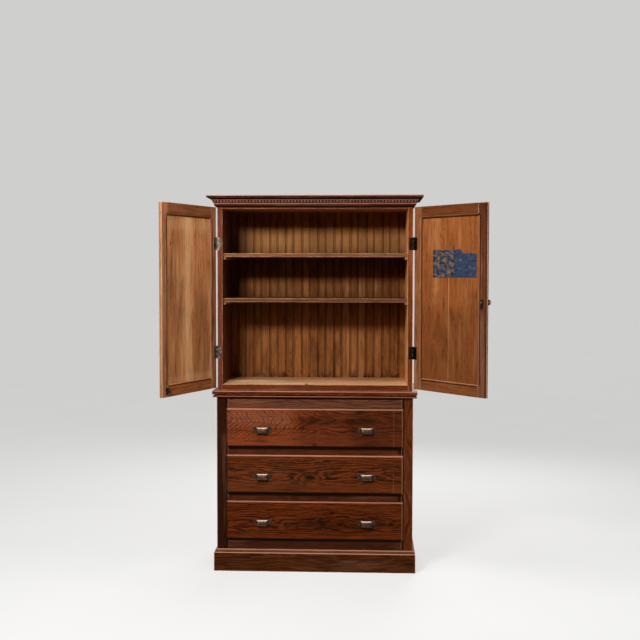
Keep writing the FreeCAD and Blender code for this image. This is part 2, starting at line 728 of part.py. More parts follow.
ovolo_head = s.cornice_fascia_height + s.cornice_ovolo_height
bed_foot = ovolo_head + s.cornice_fillet_height
bed_head = bed_foot + s.cornice_bed_height
ledge_head = bed_head + s.cornice_ledge_height
crown_head = ledge_head + s.cornice_crown_height
cornice_height = frieze_top - cornice_foot
cornice_outline = [
    (0, 0),
    (s.cornice_fascia, 0),
    (s.cornice_fascia, s.cornice_fascia_height),
    (s.cornice_ovolo, ovolo_head, s.cornice_ovolo_round),
    (s.cornice_ovolo, bed_foot),
    (s.cornice_bed, bed_foot),
    (s.cornice_bed, bed_head),
    (s.cornice_ledge, bed_head),
    (s.cornice_ledge, ledge_head),
    (s.cornice_crown, crown_head, s.cornice_ovolo_round),
    (s.cornice_crown, cornice_height),
    (0, cornice_height),
]
node("cornice_moulding", moulding("cornice_moulding", cornice_outline, upper_half, upper_depth,
                                  cornice_foot))

strip_outline = [
    (0, 0),
    (s.bead_strip_flat, 0),
    (s.bead_strip_flat, s.bead_strip_height, s.bead_strip_round),
    (0, s.bead_strip_height),
]
strip_foot = cornice_foot + bed_head - s.bead_strip_height
strip_bulge = s.bead_strip_flat + s.bead_strip_round
node("cornice_bead_strip", moulding("cornice_bead_strip", strip_outline, upper_half + s.cornice_bed,
                                    upper_depth + s.cornice_bed, strip_foot, strip_bulge))

cornice_half = upper_half + s.cornice_overhang
cornice_depth = upper_depth + s.cornice_overhang
cornice_top = soft_slab("cornice_top", cornice_half * 2, cornice_depth, s.cornice_top_thick,
                        s.cornice_round)
node("cornice_top", place(cornice_top, -cornice_half, -cornice_depth, frieze_top))


# Hinges

def hinge_leaf(name, side, face, level):
    """One leaf with its knuckles, bored for the pin, and its three screws."""
    hand = (lambda span: span) if side == "left" else mirrored
    z = (level - s.hinge_height / 2, level + s.hinge_height / 2)
    root = s.knuckle_radius + s.knuckle_gap
    thick = leaf_span(face)
    solids = [board(name + "_plate", hand((root, root + s.leaf_width)), thick, z)]
    step = s.hinge_height / 5
    for index in ((0, 2, 4) if face > 0 else (1, 3)):
        low = z[0] + step * index + s.knuckle_gap / 2
        length = step - s.knuckle_gap
        solids.append(rod(f"{name}_knuckle_{index}", s.knuckle_radius, length, 0, 0, low))
        solids.append(board(f"{name}_web_{index}", hand((0, root)), thick, (low, low + length)))
    bore = rod(name + "_bore", s.pin_radius + s.pin_play, s.hinge_height, 0, 0, z[0])
    holes, screws = [], []
    front = thick[0] if face > 0 else thick[1]
    turn = -90 * face
    for spot, (x, height) in enumerate(leaf_screws(side, level), start=1):
        seat_radius = s.screw_head_radius + s.pin_play
        holes.append(rod(f"{name}_hole_{spot}", seat_radius, s.leaf_thick, x, front, height, turn))
        shank = rod(f"{name}_shank_{spot}", s.screw_radius, s.screw_length, x, front, height, turn)
        head = rod(f"{name}_head_{spot}", s.screw_head_radius, s.leaf_thick, x, front, height, turn)
        screws.append(fuse(f"{name}_screw_{spot}", shank, head))
    plate = cut(name, fuse(name + "_metal", *solids), bore, *holes)
    return [plate] + screws


def hinges():
    """Case leaves and pins of the four hinges; the door leaves go with the doors."""
    leaves, pins = [], []
    for side in ("left", "right"):
        for number, level in enumerate(hinge_heights, start=1):
            name = f"{side}_case_leaf_{number}"
            leaves.append(at_pin(group(name + "_set", *hinge_leaf(name, side, 1, level)), side))
            foot = level - s.hinge_height / 2
            shaft = rod(f"{side}_pin_{number}_shaft", s.pin_radius, s.hinge_height, 0, 0, foot)
            head = rod(f"{side}_pin_{number}_head", s.pin_head_radius, s.pin_head_height, 0, 0,
                       foot + s.hinge_height - s.knuckle_gap / 2)
            pins.append(at_pin(fuse(f"{side}_pin_{number}", shaft, head), side))
    node("case_hinge_leaves", group("case_hinge_leaves", *leaves))
    node("hinge_pins", group("hinge_pins", *pins))


hinges()


# Doors, each made shut about its own hinge pin and then swung open

class Door:
    """One framed and panelled door; spans across it are counted from the pin to the meeting edge."""

    inner = -(s.hinge_gap / 2)
    outer = inner - s.door_thick
    edge = s.knuckle_radius
    free = pin_x - s.meeting_gap / 2

    def __init__(self, side):
        self.side = side
        self.hand = 1 if side == "left" else -1
        self.turn = -s.left_open_angle if side == "left" else s.right_open_angle
        self.sight = s.left_meeting_width if side == "left" else s.right_meeting_width
        self.open_u = (self.edge + s.door_stile_width, self.free - self.sight)
        self.open_z = (door_foot + s.door_rail_width, door_head - s.door_rail_width)
        panel_face = self.inner - s.panel_recess
        self.panel_y = (panel_face - s.panel_thick, panel_face)
        self.frame_tool = self.frame_cuts()

    def across(self, span):
        """A span across the door as X in the pin's frame."""
        return span if self.side == "left" else mirrored(span)

    def named(self, piece):
        """The full name of a piece of this door."""
        return f"{self.side}_{piece}"

    def finish(self, label, thing):
        """Swing a finished piece open with the door and keep it."""
        node(label, at_pin(thing, self.side, self.turn))

    def grown(self, margin):
        """The panel opening with a margin all round, as X and Z spans."""
        u = (self.open_u[0] - margin, self.open_u[1] + margin)
        return self.across(u), (self.open_z[0] - margin, self.open_z[1] + margin)

    def frame_cuts(self):
        """What the four frame pieces lose: panel groove, moulded inner edge and bevelled outer edge."""
        name = self.named("frame")
        groove_x, groove_z = self.grown(s.panel_tongue + s.panel_play)
        groove = board(name + "_groove", groove_x, self.panel_y, groove_z)
        step_x, step_z = self.grown(s.door_mould_width)
        step_floor = self.inner - s.door_quirk_depth
        step = board(name + "_quirk", step_x, (step_floor, self.inner), step_z)
        slope_x, slope_z = self.grown(s.door_mould_width - s.door_quirk_width)
        none_x, none_z = self.grown(0)
        slope = frustum(name + "_slope", (self.panel_y[1], step_floor), none_x, none_z, slope_x, slope_z)
        bevel_x, bevel_z = self.grown(s.door_bevel_width)
        bevel = frustum(name + "_bevel", (self.outer, self.panel_y[0]), bevel_x, bevel_z, none_x, none_z)
        return fuse(name + "_cuts", groove, step, slope, bevel)

    def tenon_span(self, rail):
        """The height of a rail's tenon, clear of the panel groove."""
        inner_cover = s.door_tenon_cover + s.panel_tongue
        if rail == "bottom":
            return (door_foot + s.door_tenon_cover, self.open_z[0] - inner_cover)
        return (self.open_z[1] + inner_cover, door_head - s.door_tenon_cover)

    def rail(self, which):
        """A rail with its two tenons."""
        name = self.named(f"{which}_rail")
        z = (door_foot, self.open_z[0]) if which == "bottom" else (self.open_z[1], door_head)
        body = board(name + "_body", self.across(self.open_u), (self.outer, self.inner), z)
        reach = (self.open_u[0] - s.tenon_length, self.open_u[1] + s.tenon_length)
        tenons = board(name + "_tenons", self.across(reach), self.panel_y, self.tenon_span(which))
        self.finish(name, fuse(name, cut(name + "_shaped", body, self.frame_tool), tenons))

    def mortises(self, name, span):
        """The mortises of both rails in a stile."""
        return [board(f"{name}_mortise_{which}", self.across(span), self.panel_y, self.tenon_span(which))
                for which in ("bottom", "top")]

    def hinge_stile(self):
        """The stile that the hinge leaves are let into."""
        name = self.named("hinge_stile")
        body = board(name + "_body", self.across((self.edge, self.open_u[0])), (self.outer, self.inner),
                     (door_foot, door_head))
        seats = hinge_mortises(name + "_hinges", self.side, -1, leaf_span(-1))
        tools = self.mortises(name, (self.open_u[0] - s.tenon_length, self.open_u[0]))
        self.finish(name, cut(name, body, self.frame_tool, seats, *tools))

    def meeting_stile(self, *holes):
        """The stile at the meeting edge: rebated outside on the left door, lipped on the right."""
        name = self.named("meeting_stile")
        y = (self.outer, self.inner)
        z = (door_foot, door_head)
        body = board(name + "_body", self.across((self.open_u[1], self.free)), y, z)
        tools = self.mortises(name, (self.open_u[1], self.open_u[1] + s.tenon_length))
        if self.side == "left":
            shoulder = self.free - (s.lip_width - s.meeting_gap + s.lip_play)
            tools.append(board(name + "_rebate", self.across((shoulder, self.free)),
                               (self.outer, self.outer + s.lip_thick + s.lip_gap), z))
        else:
            lip = board(name + "_lip", self.across((self.free - s.lip_width, self.free + s.lip_width)),
                        (self.outer, self.outer + s.lip_thick), z)
            body = fuse(name + "_lipped", body, lip)
        self.finish(name, cut(name, body, self.frame_tool, *tools, *holes))

    def panel(self):
        """The flat panel in the frame's grooves."""
        name = self.named("panel")
        x, z = self.grown(s.panel_tongue)
        self.finish(name, group(name, board(name + "_board", x, self.panel_y, z)))

    def hinge_leaves(self):
        """The door leaves of both hinges with their screws."""
        solids = []
        for number, level in enumerate(hinge_heights, start=1):
            solids += hinge_leaf(self.named(f"door_leaf_{number}"), self.side, -1, level)
        name = self.named("door_hinge_leaves")
        self.finish(name, group(name, *solids))

    def build(self, *holes):
        """Make every wooden piece of the door, and its hinge leaves."""
        self.hinge_stile()
        self.meeting_stile(*holes)
        self.rail("top")
        self.rail("bottom")
        self.panel()
        self.hinge_leaves()


def latch(door):
    """Cupboard turn of the right door: knob outside, spindle through the stile, tongue inside."""
    x = (door.free - s.latch_inset) * door.hand
    z = door_foot + s.latch_rise
    bore = s.spindle_radius + s.pin_play
    rose_face = door.outer - s.latch_plate_thick
    plate_face = door.inner + s.latch_plate_thick
    hole = rod("latch_hole", bore, s.door_thick, x, door.inner, z, 90)
    disc = rod("latch_rose_disc", s.rose_radius, s.latch_plate_thick, x, door.outer, z, 90)
    rose = cut("latch_rose", disc, rod("latch_rose_bore", bore, s.latch_plate_thick, x, door.outer, z, 90))
    half = s.latch_plate_width / 2
    plate_foot = z - s.latch_plate_drop - s.latch_plate_height / 2
    plate_z = (plate_foot, plate_foot + s.latch_plate_height)
    blank = board("latch_inner_blank", (x - half, x + half), (door.inner, plate_face), plate_z)
    inner_plate = cut("latch_inner_plate", blank,
                      rod("latch_inner_bore", bore, s.latch_plate_thick, x, plate_face, z, 90))
    door.finish("latch_plates", group("latch_plates", rose, inner_plate))

    tongue_y = (plate_face + s.latch_play, plate_face + s.latch_play + s.tongue_thick)
    neck_start = rose_face - s.latch_play
    spindle = rod("latch_spindle", s.spindle_radius, tongue_y[1] - neck_start, x, tongue_y[1], z, 90)
    neck = rod("latch_neck", s.knob_neck_radius, s.knob_neck_length, x, neck_start, z, 90)
    ball = doc.addObject("Part::Ellipsoid", "latch_ball")
    bind(ball, "Radius1", s.knob_half_depth)
    bind(ball, "Radius2", s.knob_radius)
    bind(ball, "Radius3", s.knob_radius)
    place(ball, x, neck_start - s.knob_neck_length - s.knob_half_depth * 0.6, z, 90, SIDEWAYS)
    door.finish("latch_knob", fuse("latch_knob", spindle, neck, ball))

    boss = rod("tongue_boss", s.tongue_boss_radius, s.tongue_thick, x, tongue_y[1], z, 90)
    arm_half = s.tongue_width / 2
    arm = board("tongue_arm", (x - arm_half, x + arm_half), tongue_y, (z - s.tongue_reach, z))
    socket = rod("tongue_socket", s.spindle_radius, s.tongue_thick, x, tongue_y[1], z, 90)
    door.finish("latch_tongue", cut("latch_tongue", fuse("tongue_metal", boss, arm), socket))
    return hole


def elbow_catch(door):
    """Sprung elbow catch of the left door, and the strike it hooks on the cabinet floor."""
    middle = door.free - s.catch_inset
    half = s.catch_plate_width / 2
    u = (middle - half, middle + half)
    foot = door_foot + s.catch_rise
    face = door.inner + s.catch_plate_thick
    pivot_y = door.inner + s.catch_pivot_reach
    pivot_z = foot + s.catch_pivot_rise

    plate = board("catch_plate_back", u, (door.inner, face), (foot, foot + s.catch_plate_height))
    ear_z = (pivot_z - s.catch_ear_height / 2, pivot_z + s.catch_ear_height / 2)
    ear_y = (face, face + s.catch_ear_reach)
    ears = [board(f"catch_ear_{end}", span, ear_y, ear_z) for end, span in (
        ("near", (u[0], u[0] + s.catch_ear_thick)), ("far", (u[1] - s.catch_ear_thick, u[1])))]

    def crossbar(name, radius, span):
        """A round bar across the catch, on its pivot."""
        return rod(name, radius, span[1] - span[0], span[0], pivot_y, pivot_z, 90, BACKWARD)

    metal = fuse("catch_bracket_metal", plate, *ears)
    bracket = cut("catch_bracket", metal, crossbar("catch_ear_bore", s.pin_radius, u))
    door.finish("catch_plate", group("catch_plate", bracket, crossbar("catch_pivot_pin", s.pin_radius, u)))

    inset = s.catch_ear_thick + s.catch_hub_gap
    hub = crossbar("catch_hub", s.catch_hub_radius, (u[0] + inset, u[1] - inset))
    arm_z = (pivot_z - s.catch_arm_thick / 2, pivot_z + s.catch_arm_thick / 2)
    tip = pivot_y + s.catch_arm_reach
    arm_half = s.catch_spring_width / 2
    arm_u = (middle - arm_half, middle + arm_half)
    arm = board("catch_arm", arm_u, (pivot_y, tip), arm_z)
    hook_foot = floor_top + s.strike_thick + s.catch_hook_gap
    hook = board("catch_hook", arm_u, (tip - s.catch_hook_depth, tip), (hook_foot, arm_z[1]))
    thumb_back = pivot_y + s.catch_thumb_set
    thumb = board("catch_thumb", arm_u, (thumb_back, thumb_back + s.catch_thumb_thick),
                  (pivot_z, pivot_z + s.catch_thumb_height))
    lever = fuse("catch_lever_metal", hub, arm, hook, thumb)
    eye = crossbar("catch_eye", s.pin_radius + s.pin_play, u)
    door.finish("catch_lever", cut("catch_lever", lever, eye))

    spring_foot = pivot_z + s.catch_hub_radius
    leaf = board("catch_spring_leaf", arm_u, (face, face + s.catch_spring_thick),
                 (spring_foot, spring_foot + s.catch_spring_height))
    door.finish("catch_spring", group("catch_spring", leaf))

    strike_half = s.strike_width / 2
    strike_u = (middle - strike_half, middle + strike_half)
    lip_back = tip - s.catch_hook_depth - s.strike_play
    base = board("strike_base", strike_u, (lip_back - s.strike_depth, lip_back),
                 (floor_top, floor_top + s.strike_thick))
    lip = board("strike_lip", strike_u, (lip_back - s.strike_lip_thick, lip_back),
                (floor_top, floor_top + s.strike_thick + s.strike_lip_height))
    node("catch_strike", at_pin(fuse("catch_strike", base, lip), "left"))


left_door = Door("left")
left_door.build()
elbow_catch(left_door)
right_door = Door("right")
right_door.build(latch(right_door))


# Drawers

def pull(name, x, z):
    """A bin pull: a hood open below, a flange on each side, and two screws. Also its screw places."""
    outline = [
        (0, 0),
        (s.pull_depth, 0),
        (s.pull_depth, s.pull_height - s.pull_round),
        (s.pull_depth - s.pull_round, s.pull_height, s.pull_round),
        (0, s.pull_height),
    ]
    hollow_depth = s.pull_depth - s.pull_wall
    hollow_height = s.pull_height - s.pull_wall
    hollow_round = s.pull_round - s.pull_wall
    hollow_outline = [
        (0, 0),
        (hollow_depth, 0),
        (hollow_depth, hollow_height - hollow_round),
        (hollow_depth - hollow_round, hollow_height, hollow_round),
        (0, hollow_height),
    ]
    block = padded(name + "_hood", "YZ_Plane", outline, s.pull_width)
    hollow_width = s.pull_width - s.pull_wall * 2
    hollow = padded(name + "_hollow", "YZ_Plane", hollow_outline, hollow_width)
    place(hollow, x=s.pull_wall)
    hood = cut(name + "_shell", block, hollow)
    flange_z = (s.pull_height - s.pull_flange_height, s.pull_height)
    flange_y = (0, s.pull_wall)
    near = (-s.pull_flange, s.pull_wall)
    far = (s.pull_width - s.pull_wall, s.pull_width + s.pull_flange)
    lugs = [board(f"{name}_flange_{end}", span, flange_y, flange_z)
            for end, span in (("near", near), ("far", far))]
    spots = (-s.pull_flange / 2, s.pull_width + s.pull_flange / 2)
    middle = s.pull_height - s.pull_flange_height / 2
    hole = s.screw_radius + s.pin_play
    holes = [rod(f"{name}_hole_{i}", hole, s.pull_wall, spot, s.pull_wall, middle, 90)
             for i, spot in enumerate(spots, start=1)]
    metal = cut(name + "_metal", fuse(name + "_cast", hood, *lugs), *holes)
    place(metal, x + s.pull_width / 2, front_face, z, 180)
    screws, pilots = [], []
    for i, spot in enumerate(spots, start=1):
        screw_x = x + s.pull_width / 2 - spot
        screws.append(screw(f"{name}_screw_{i}", screw_x, front_face - s.pull_wall, z + middle, 1))
        pilots.append(screw_hole(f"{name}_pilot_{i}", screw_x, front_face - s.pull_wall, z + middle, 1))
    return [metal] + screws, pilots


def drawer(index):
    """A lipped drawer with rebated sides, a back, a grooved-in bottom and two bin pulls."""
    name = f"{DRAWERS[index]}_drawer"
    level = sill(index)
    lip_half = stile_inside + s.drawer_overlap
    lip_z = (level - s.drawer_overlap, level + s.opening_height + s.drawer_overlap)
    bevel_y = front_face + s.drawer_bevel
    box_half = stile_inside - s.drawer_side_gap
    inner_half = box_half - s.drawer_side_thick
    foot = level + s.drawer_run_gap
    head = foot + s.drawer_side_height
    bottom_z = (foot + s.drawer_bottom_rise, foot + s.drawer_bottom_rise + s.drawer_bottom_thick)
    back_end = lip_back + s.drawer_length

    lip = board(name + "_lip", (-lip_half, lip_half), (bevel_y, lip_back), lip_z)
    face_half = lip_half - s.drawer_bevel
    face = frustum(name + "_face", (front_face, bevel_y), (-face_half, face_half),
                   (lip_z[0] + s.drawer_bevel, lip_z[1] - s.drawer_bevel), (-lip_half, lip_half), lip_z)
    tongue_y = (lip_back, lip_back + s.drawer_tongue)
    tongue = board(name + "_tongue", (-inner_half, inner_half), tongue_y, (foot, head))
    groove_half = inner_half + s.drawer_groove
    bottom_y = (lip_back + s.drawer_tongue - s.drawer_groove, back_end)
    bottom = board(name + "_bottom", (-groove_half, groove_half), bottom_y, bottom_z)
    groove = board(name + "_groove", (-groove_half, groove_half), bottom_y, bottom_z)

    fittings, pilots = [], []
    pull_z = (lip_z[0] + lip_z[1]) / 2 - s.pull_drop
    for side, x in (("left", -s.pull_spread), ("right", s.pull_spread)):
        solids, holes = pull(f"{name}_{side}_pull", x, pull_z)
        fittings += solids
        pilots += holes
    wood = fuse(name + "_front_wood", lip, face, tongue)
    node(name + "_front", cut(name + "_front", wood, groove, *pilots))

    sides = []
    for side, span in (("right", (inner_half, box_half)), ("left", mirrored((inner_half, box_half)))):
        blank = board(f"{name}_side_{side}_blank", span, (lip_back, back_end), (foot, head))
        sides.append(cut(f"{name}_side_{side}", blank, groove))
    back = board(name + "_back", (-inner_half, inner_half), (back_end - s.drawer_side_thick, back_end),
                 (bottom_z[1], head))
    node(name + "_box", group(name + "_box", *sides, back))
    node(name + "_bottom", bottom)
    node(name + "_pulls", group(name + "_pulls", *fittings))


lip_back = base_front - s.drawer_run_gap
front_face = lip_back - s.drawer_lip_thick
for index in range(len(DRAWERS)):
    drawer(index)


# Check every piece, then write it

doc.recompute()
for thing in doc.Objects:
    if {"Invalid", "Error"} & set(thing.State):
        raise RuntimeError(f"{thing.Label} failed: {thing.State}")
for thing in nodes:
    if thing.Shape.isNull() or not thing.Shape.isValid() or not thing.Shape.Solids:
        raise RuntimeError(f"{thing.Label} has no sound shape")
os.makedirs("parts", exist_ok=True)
for thing in nodes:
    thing.Shape.exportStep(f"parts/{thing.Label}.step")
print(len(nodes), "pieces written")
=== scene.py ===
"""Looks of a two-part shop cabinet: shelves behind panelled doors above, three drawers below."""

import logging
import math
import random
import zlib
from dataclasses import dataclass, field, replace
from enum import Enum
from typing import Callable, Optional, Sequence, Union

import bmesh
import bpy
from mathutils import Matrix, Vector


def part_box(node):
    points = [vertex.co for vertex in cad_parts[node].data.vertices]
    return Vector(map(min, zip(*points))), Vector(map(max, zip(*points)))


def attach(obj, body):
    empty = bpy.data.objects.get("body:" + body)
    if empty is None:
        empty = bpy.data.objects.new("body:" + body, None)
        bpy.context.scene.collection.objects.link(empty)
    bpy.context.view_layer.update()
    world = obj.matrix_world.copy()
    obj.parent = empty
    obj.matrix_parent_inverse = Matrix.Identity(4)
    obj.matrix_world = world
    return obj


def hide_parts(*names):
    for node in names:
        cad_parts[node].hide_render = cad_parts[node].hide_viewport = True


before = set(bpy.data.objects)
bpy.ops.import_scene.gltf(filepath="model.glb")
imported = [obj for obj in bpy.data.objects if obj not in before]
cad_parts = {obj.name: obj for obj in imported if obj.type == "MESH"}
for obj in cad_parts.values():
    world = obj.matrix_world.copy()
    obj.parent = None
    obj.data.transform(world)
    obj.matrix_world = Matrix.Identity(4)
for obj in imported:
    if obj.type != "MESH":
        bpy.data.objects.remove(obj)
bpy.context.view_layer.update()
LOG = logging.getLogger("shop_cabinet")

MM = 0.001
PHOTO_WIDTH = 640
NO_LIMIT = 9.0
MERGE_DISTANCE = 2e-6
FACING = 0.5
LEVEL = 0.9
SEEDS = 1000

Socket = bpy.types.NodeSocket
Outputs = bpy.types.bpy_prop_collection
Piece = bpy.types.Object
WorkMesh = bmesh.types.BMesh
Tone = tuple[float, float, float]
Screen = tuple[int, int, int]
Fed = Union[Socket, float, Sequence[float]]
FaceTest = Callable[[Vector, Vector], bool]


def stain(red: int, green: int, blue: int) -> Tone:
    """Turns a colour as seen on screen into the linear colour that a shader takes.

    Args:
        red: red share, 0 to 255.
        green: green share, 0 to 255.
        blue: blue share, 0 to 255.

    Returns:
        The linear colour.
    """
    knee, slope, shift, power = 0.04045, 12.92, 0.055, 2.4
    shares = (share / 255 for share in (red, green, blue))
    linear = [share / slope if share <= knee else ((share + shift) / (1 + shift)) ** power
              for share in shares]
    return linear[0], linear[1], linear[2]


class Body(Enum):
    """The moving bodies of the cabinet."""

    CASE = "case"
    LEFT_DOOR = "left_door"
    RIGHT_DOOR = "right_door"
    ELBOW_CATCH = "elbow_catch"
    LATCH = "latch"
    BOTTOM_DRAWER = "bottom_drawer"
    MIDDLE_DRAWER = "middle_drawer"
    TOP_DRAWER = "top_drawer"


class Slot(Enum):
    """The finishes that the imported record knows."""

    STAINED_WOOD = "stained_wood"
    DOOR_WOOD = "door_wood"
    INNER_WOOD = "inner_wood"
    RAW_WOOD = "raw_wood"
    PULL_IRON = "pull_iron"
    STEEL = "steel"
    DARK_IRON = "dark_iron"
    KNOB_BRASS = "knob_brass"


class Grain(Enum):
    """The axis of a board's own frame that its grain follows."""

    SIDEWAYS = 0
    BACKWARD = 1
    UPRIGHT = 2


class Way(Enum):
    """The direction in which a strip's place is counted on a board."""

    ACROSS = 0
    ALONG = 1
    THROUGH = 2


class Side(Enum):
    """The two doors, and the way each one's width runs from its pin."""

    LEFT = 1
    RIGHT = -1

    @property
    def word(self) -> str:
        """The side as it stands in the names of the nodes."""
        return self.name.lower()


@dataclass(frozen=True)
class Noise:
    """One kind of noise: scale on each axis, octaves, strength of the fine ones, and where it fades in."""

    scale: tuple[float, float, float]
    detail: float = 2.0
    rough: float = 0.5
    shows: tuple[float, float] = (0.0, 1.0)
    shift: tuple[float, float, float] = (0.0, 0.0, 0.0)


class Nodes:
    """The nodes of one tree, with short calls to add and link them."""

    def __init__(self, tree: bpy.types.NodeTree) -> None:
        """Takes a tree and empties it."""
        self.tree = tree
        tree.nodes.clear()

    def feed(self, socket: Socket, value: Fed) -> None:
        """Links a socket to another one, or sets its own value.

        Args:
            socket: the input.
            value: an output to link, a number, or a colour or vector.
        """
        if isinstance(value, Socket):
            self.tree.links.new(value, socket)
        elif socket.type == "RGBA":
            socket.default_value = (*value, 1.0)
        else:
            socket.default_value = value

    def node(self, kind: str, feeds: Optional[dict] = None, **settings: object) -> Outputs:
        """Adds a node.

        Args:
            kind: the node's type.
            feeds: what goes into its inputs, by name or number.
            settings: the node's own settings.

        Returns:
            The node's outputs.
        """
        node = self.tree.nodes.new(kind)
        for name, setting in settings.items():
            setattr(node, name, setting)
        for name, value in (feeds or {}).items():
            self.feed(node.inputs[name], value)
        return node.outputs

    def fed(self, kind: str, *values: Fed, **settings: object) -> Outputs:
        """Adds a node whose first inputs are fed in their order."""
        return self.node(kind, dict(enumerate(values)), **settings)

    def math(self, operation: str, *terms: Fed) -> Socket:
        """One sum of up to three terms."""
        return self.fed("ShaderNodeMath", *terms, operation=operation)[0]

    def vector(self, *parts: Fed) -> Socket:
        """A vector of up to three parts."""
        return self.fed("ShaderNodeCombineXYZ", *parts)[0]

    def looked_at(self) -> Socket:
        """Whether a surface is seen straight, in a reflection or through glass.

        Returns:
            1 where it is seen, 0 where it only lights the scene.
        """
        path = self.node("ShaderNodeLightPath")
        either = self.math("MAXIMUM", path["Is Camera Ray"], path["Is Glossy Ray"])
        return self.math("MAXIMUM", either, path["Is Transmission Ray"])


class Shading(Nodes):
    """A material's nodes, with short calls for those that the finishes use."""

    def __init__(self, name: str) -> None:
        """Starts a material with one surface shader.

        Args:
            name: the material's name.
        """
        self.material = bpy.data.materials.new(name)
        self.material.use_nodes = True
        super().__init__(self.material.node_tree)
        self.surface = self.tree.nodes.new("ShaderNodeBsdfPrincipled")
        self.fed("ShaderNodeOutputMaterial", self.surface.outputs["BSDF"])

    def give(self, name: str, value: Fed) -> None:
        """Links or sets one of the surface shader's own sockets."""
        self.feed(self.surface.inputs[name], value)

    def attribute(self, name: str, output: str = "Vector") -> Socket:
        """One of the piece's own attributes, as a vector or as a number."""
        return self.node("ShaderNodeAttribute", attribute_name=name)[output]

    def place(self) -> Socket:
        """The point of the piece, in metres."""
        return self.node("ShaderNodeTexCoord")["Object"]

    def split(self, vector: Fed) -> list[Socket]:
        """The three parts of a vector."""
        return list(self.fed("ShaderNodeSeparateXYZ", vector))

    def stretched(self, vector: Fed, scale: Sequence[float], shift: Fed) -> Socket:
        """A vector scaled along its axes and shifted."""
        return self.fed("ShaderNodeVectorMath", vector, scale, shift, operation="MULTIPLY_ADD")[0]

    def noise(self, kind: Noise, vector: Fed, shift: Optional[Fed] = None) -> Socket:
        """Soft noise from 0 to 1.

        Args:
            kind: the kind of noise.
            vector: where it is read.
            shift: what is added to the scaled place, if not the kind's own shift.

        Returns:
            The noise.
        """
        place = self.stretched(vector, kind.scale, kind.shift if shift is None else shift)
        feeds = {"Vector": place, "Scale": 1.0, "Detail": kind.detail, "Roughness": kind.rough}
        return self.node("ShaderNodeTexNoise", feeds)[0]

    def ragged(self, value: Fed, noise: Fed, reach: float) -> Socket:
        """A value that noise moves by up to half a reach either way."""
        return self.math("MULTIPLY_ADD", self.math("SUBTRACT", noise, 0.5), reach, value)

    def chance(self, value: Fed) -> Socket:
        """A fixed random number for each whole value."""
        return self.node("ShaderNodeTexWhiteNoise", {"W": value}, noise_dimensions="1D")["Value"]

    def ease(self, value: Fed, start: Fed, stop: Fed, low: float = 0.0, high: float = 1.0) -> Socket:
        """A soft step of a value, from a low result at the start to a high one at the stop."""
        terms = (value, start, stop, low, high)
        return self.fed("ShaderNodeMapRange", *terms, interpolation_type="SMOOTHSTEP")[0]

    def length(self, first: Fed, second: Fed) -> Socket:
        """The distance that two steps at right angles make."""
        squares = self.math("MULTIPLY_ADD", first, first, self.math("MULTIPLY", second, second))
        return self.math("SQRT", squares)

    def between(self, low: float, high: float, first: Fed, second: Fed) -> Socket:
        """A value between two limits that follows the mean of two noises."""
        return self.math("MULTIPLY_ADD", self.math("ADD", first, second), (high - low) * 0.5, low)

    def mix(self, first: Fed, second: Fed, amount: Fed) -> Socket:
        """Two colours mixed: the first where the amount is 0, the second where it is 1."""
        return self.node("ShaderNodeMix", {0: amount, 6: first, 7: second}, data_type="RGBA")[2]

    def layered(self, colour: Fed, *layers: tuple[Fed, Noise, Tone, float]) -> Socket:
        """Lays tones over a colour, each where its noise shows.

        Args:
            colour: the colour below.
            layers: each layer's noise, the kind it is of, its tone and its strength.

        Returns:
            The colour with the layers.
        """
        for noise, kind, tone, strength in layers:
            colour = self.mix(colour, tone, self.ease(noise, *kind.shows, 0.0, strength))
        return colour

    def brightened(self, colour: Fed, value: Fed) -> Socket:
        """A colour made brighter or darker."""
        return self.node("ShaderNodeHueSaturation", {"Value": value, "Color": colour})[0]

    def bump(self, height: Fed, strength: float, distance: float) -> None:
        """Raises the surface by a height from 0 to 1, over a distance in metres."""
        feeds = {"Strength": strength, "Distance": distance, "Height": height}
        self.give("Normal", self.node("ShaderNodeBump", feeds)[0])


@dataclass(frozen=True)
class Finish:
    """A finish: its name, the record's slot for it, and a material that is built once."""

    name: str
    slot: Slot

    def material(self) -> bpy.types.Material:
        """Builds the finish once, and hands it out again after that.

        Returns:
            The material.
        """
        made = bpy.data.materials.get(self.name)
        if made is None:
            nodes = Shading(self.name)
            self.paint(nodes)
            made = nodes.material
        return made

    def paint(self, nodes: Shading) -> None:
        """Lays the finish's colours and relief into the nodes of its material."""
        raise NotImplementedError(self.name)


@dataclass(frozen=True)
class Band:
    """A paler or darker strip that runs along a board, or across it; many finishes use strips as painted
    highlights and painted shade.
    """

    offset: float
    half_width: float
    amount: float
    low: float = -NO_LIMIT
    high: float = NO_LIMIT
    softness: float = 0.5
    fade: float = 0.05
    way: Way = Way.ACROSS


@dataclass(frozen=True)
class Knot:
    """A knot or dark burl in a board's face."""

    along: float
    across: float
    radius: float
    depth: float = 0.8


@dataclass(frozen=True)
class BoardPoint:
    """A point of a board as its shader reads it: place and half sizes along, across and through."""

    grain: Socket
    half: Socket
    along: Socket
    across: Socket
    through: Socket
    cut: list[Socket]
    shift: Socket

    @classmethod
    def read(cls, nodes: Shading) -> "BoardPoint":
        """Reads the point from the piece's attributes.

        Args:
            nodes: the material's nodes.

        Returns:
            The point, with the board's own shift and the place of the tree's heart in its cut.
        """
        grain = nodes.attribute("grain")
        cut = nodes.split(nodes.attribute("cut"))
        shift = nodes.vector(cut[0], cut[0], cut[0])
        return cls(grain, nodes.attribute("half"), *nodes.split(grain), cut, shift)


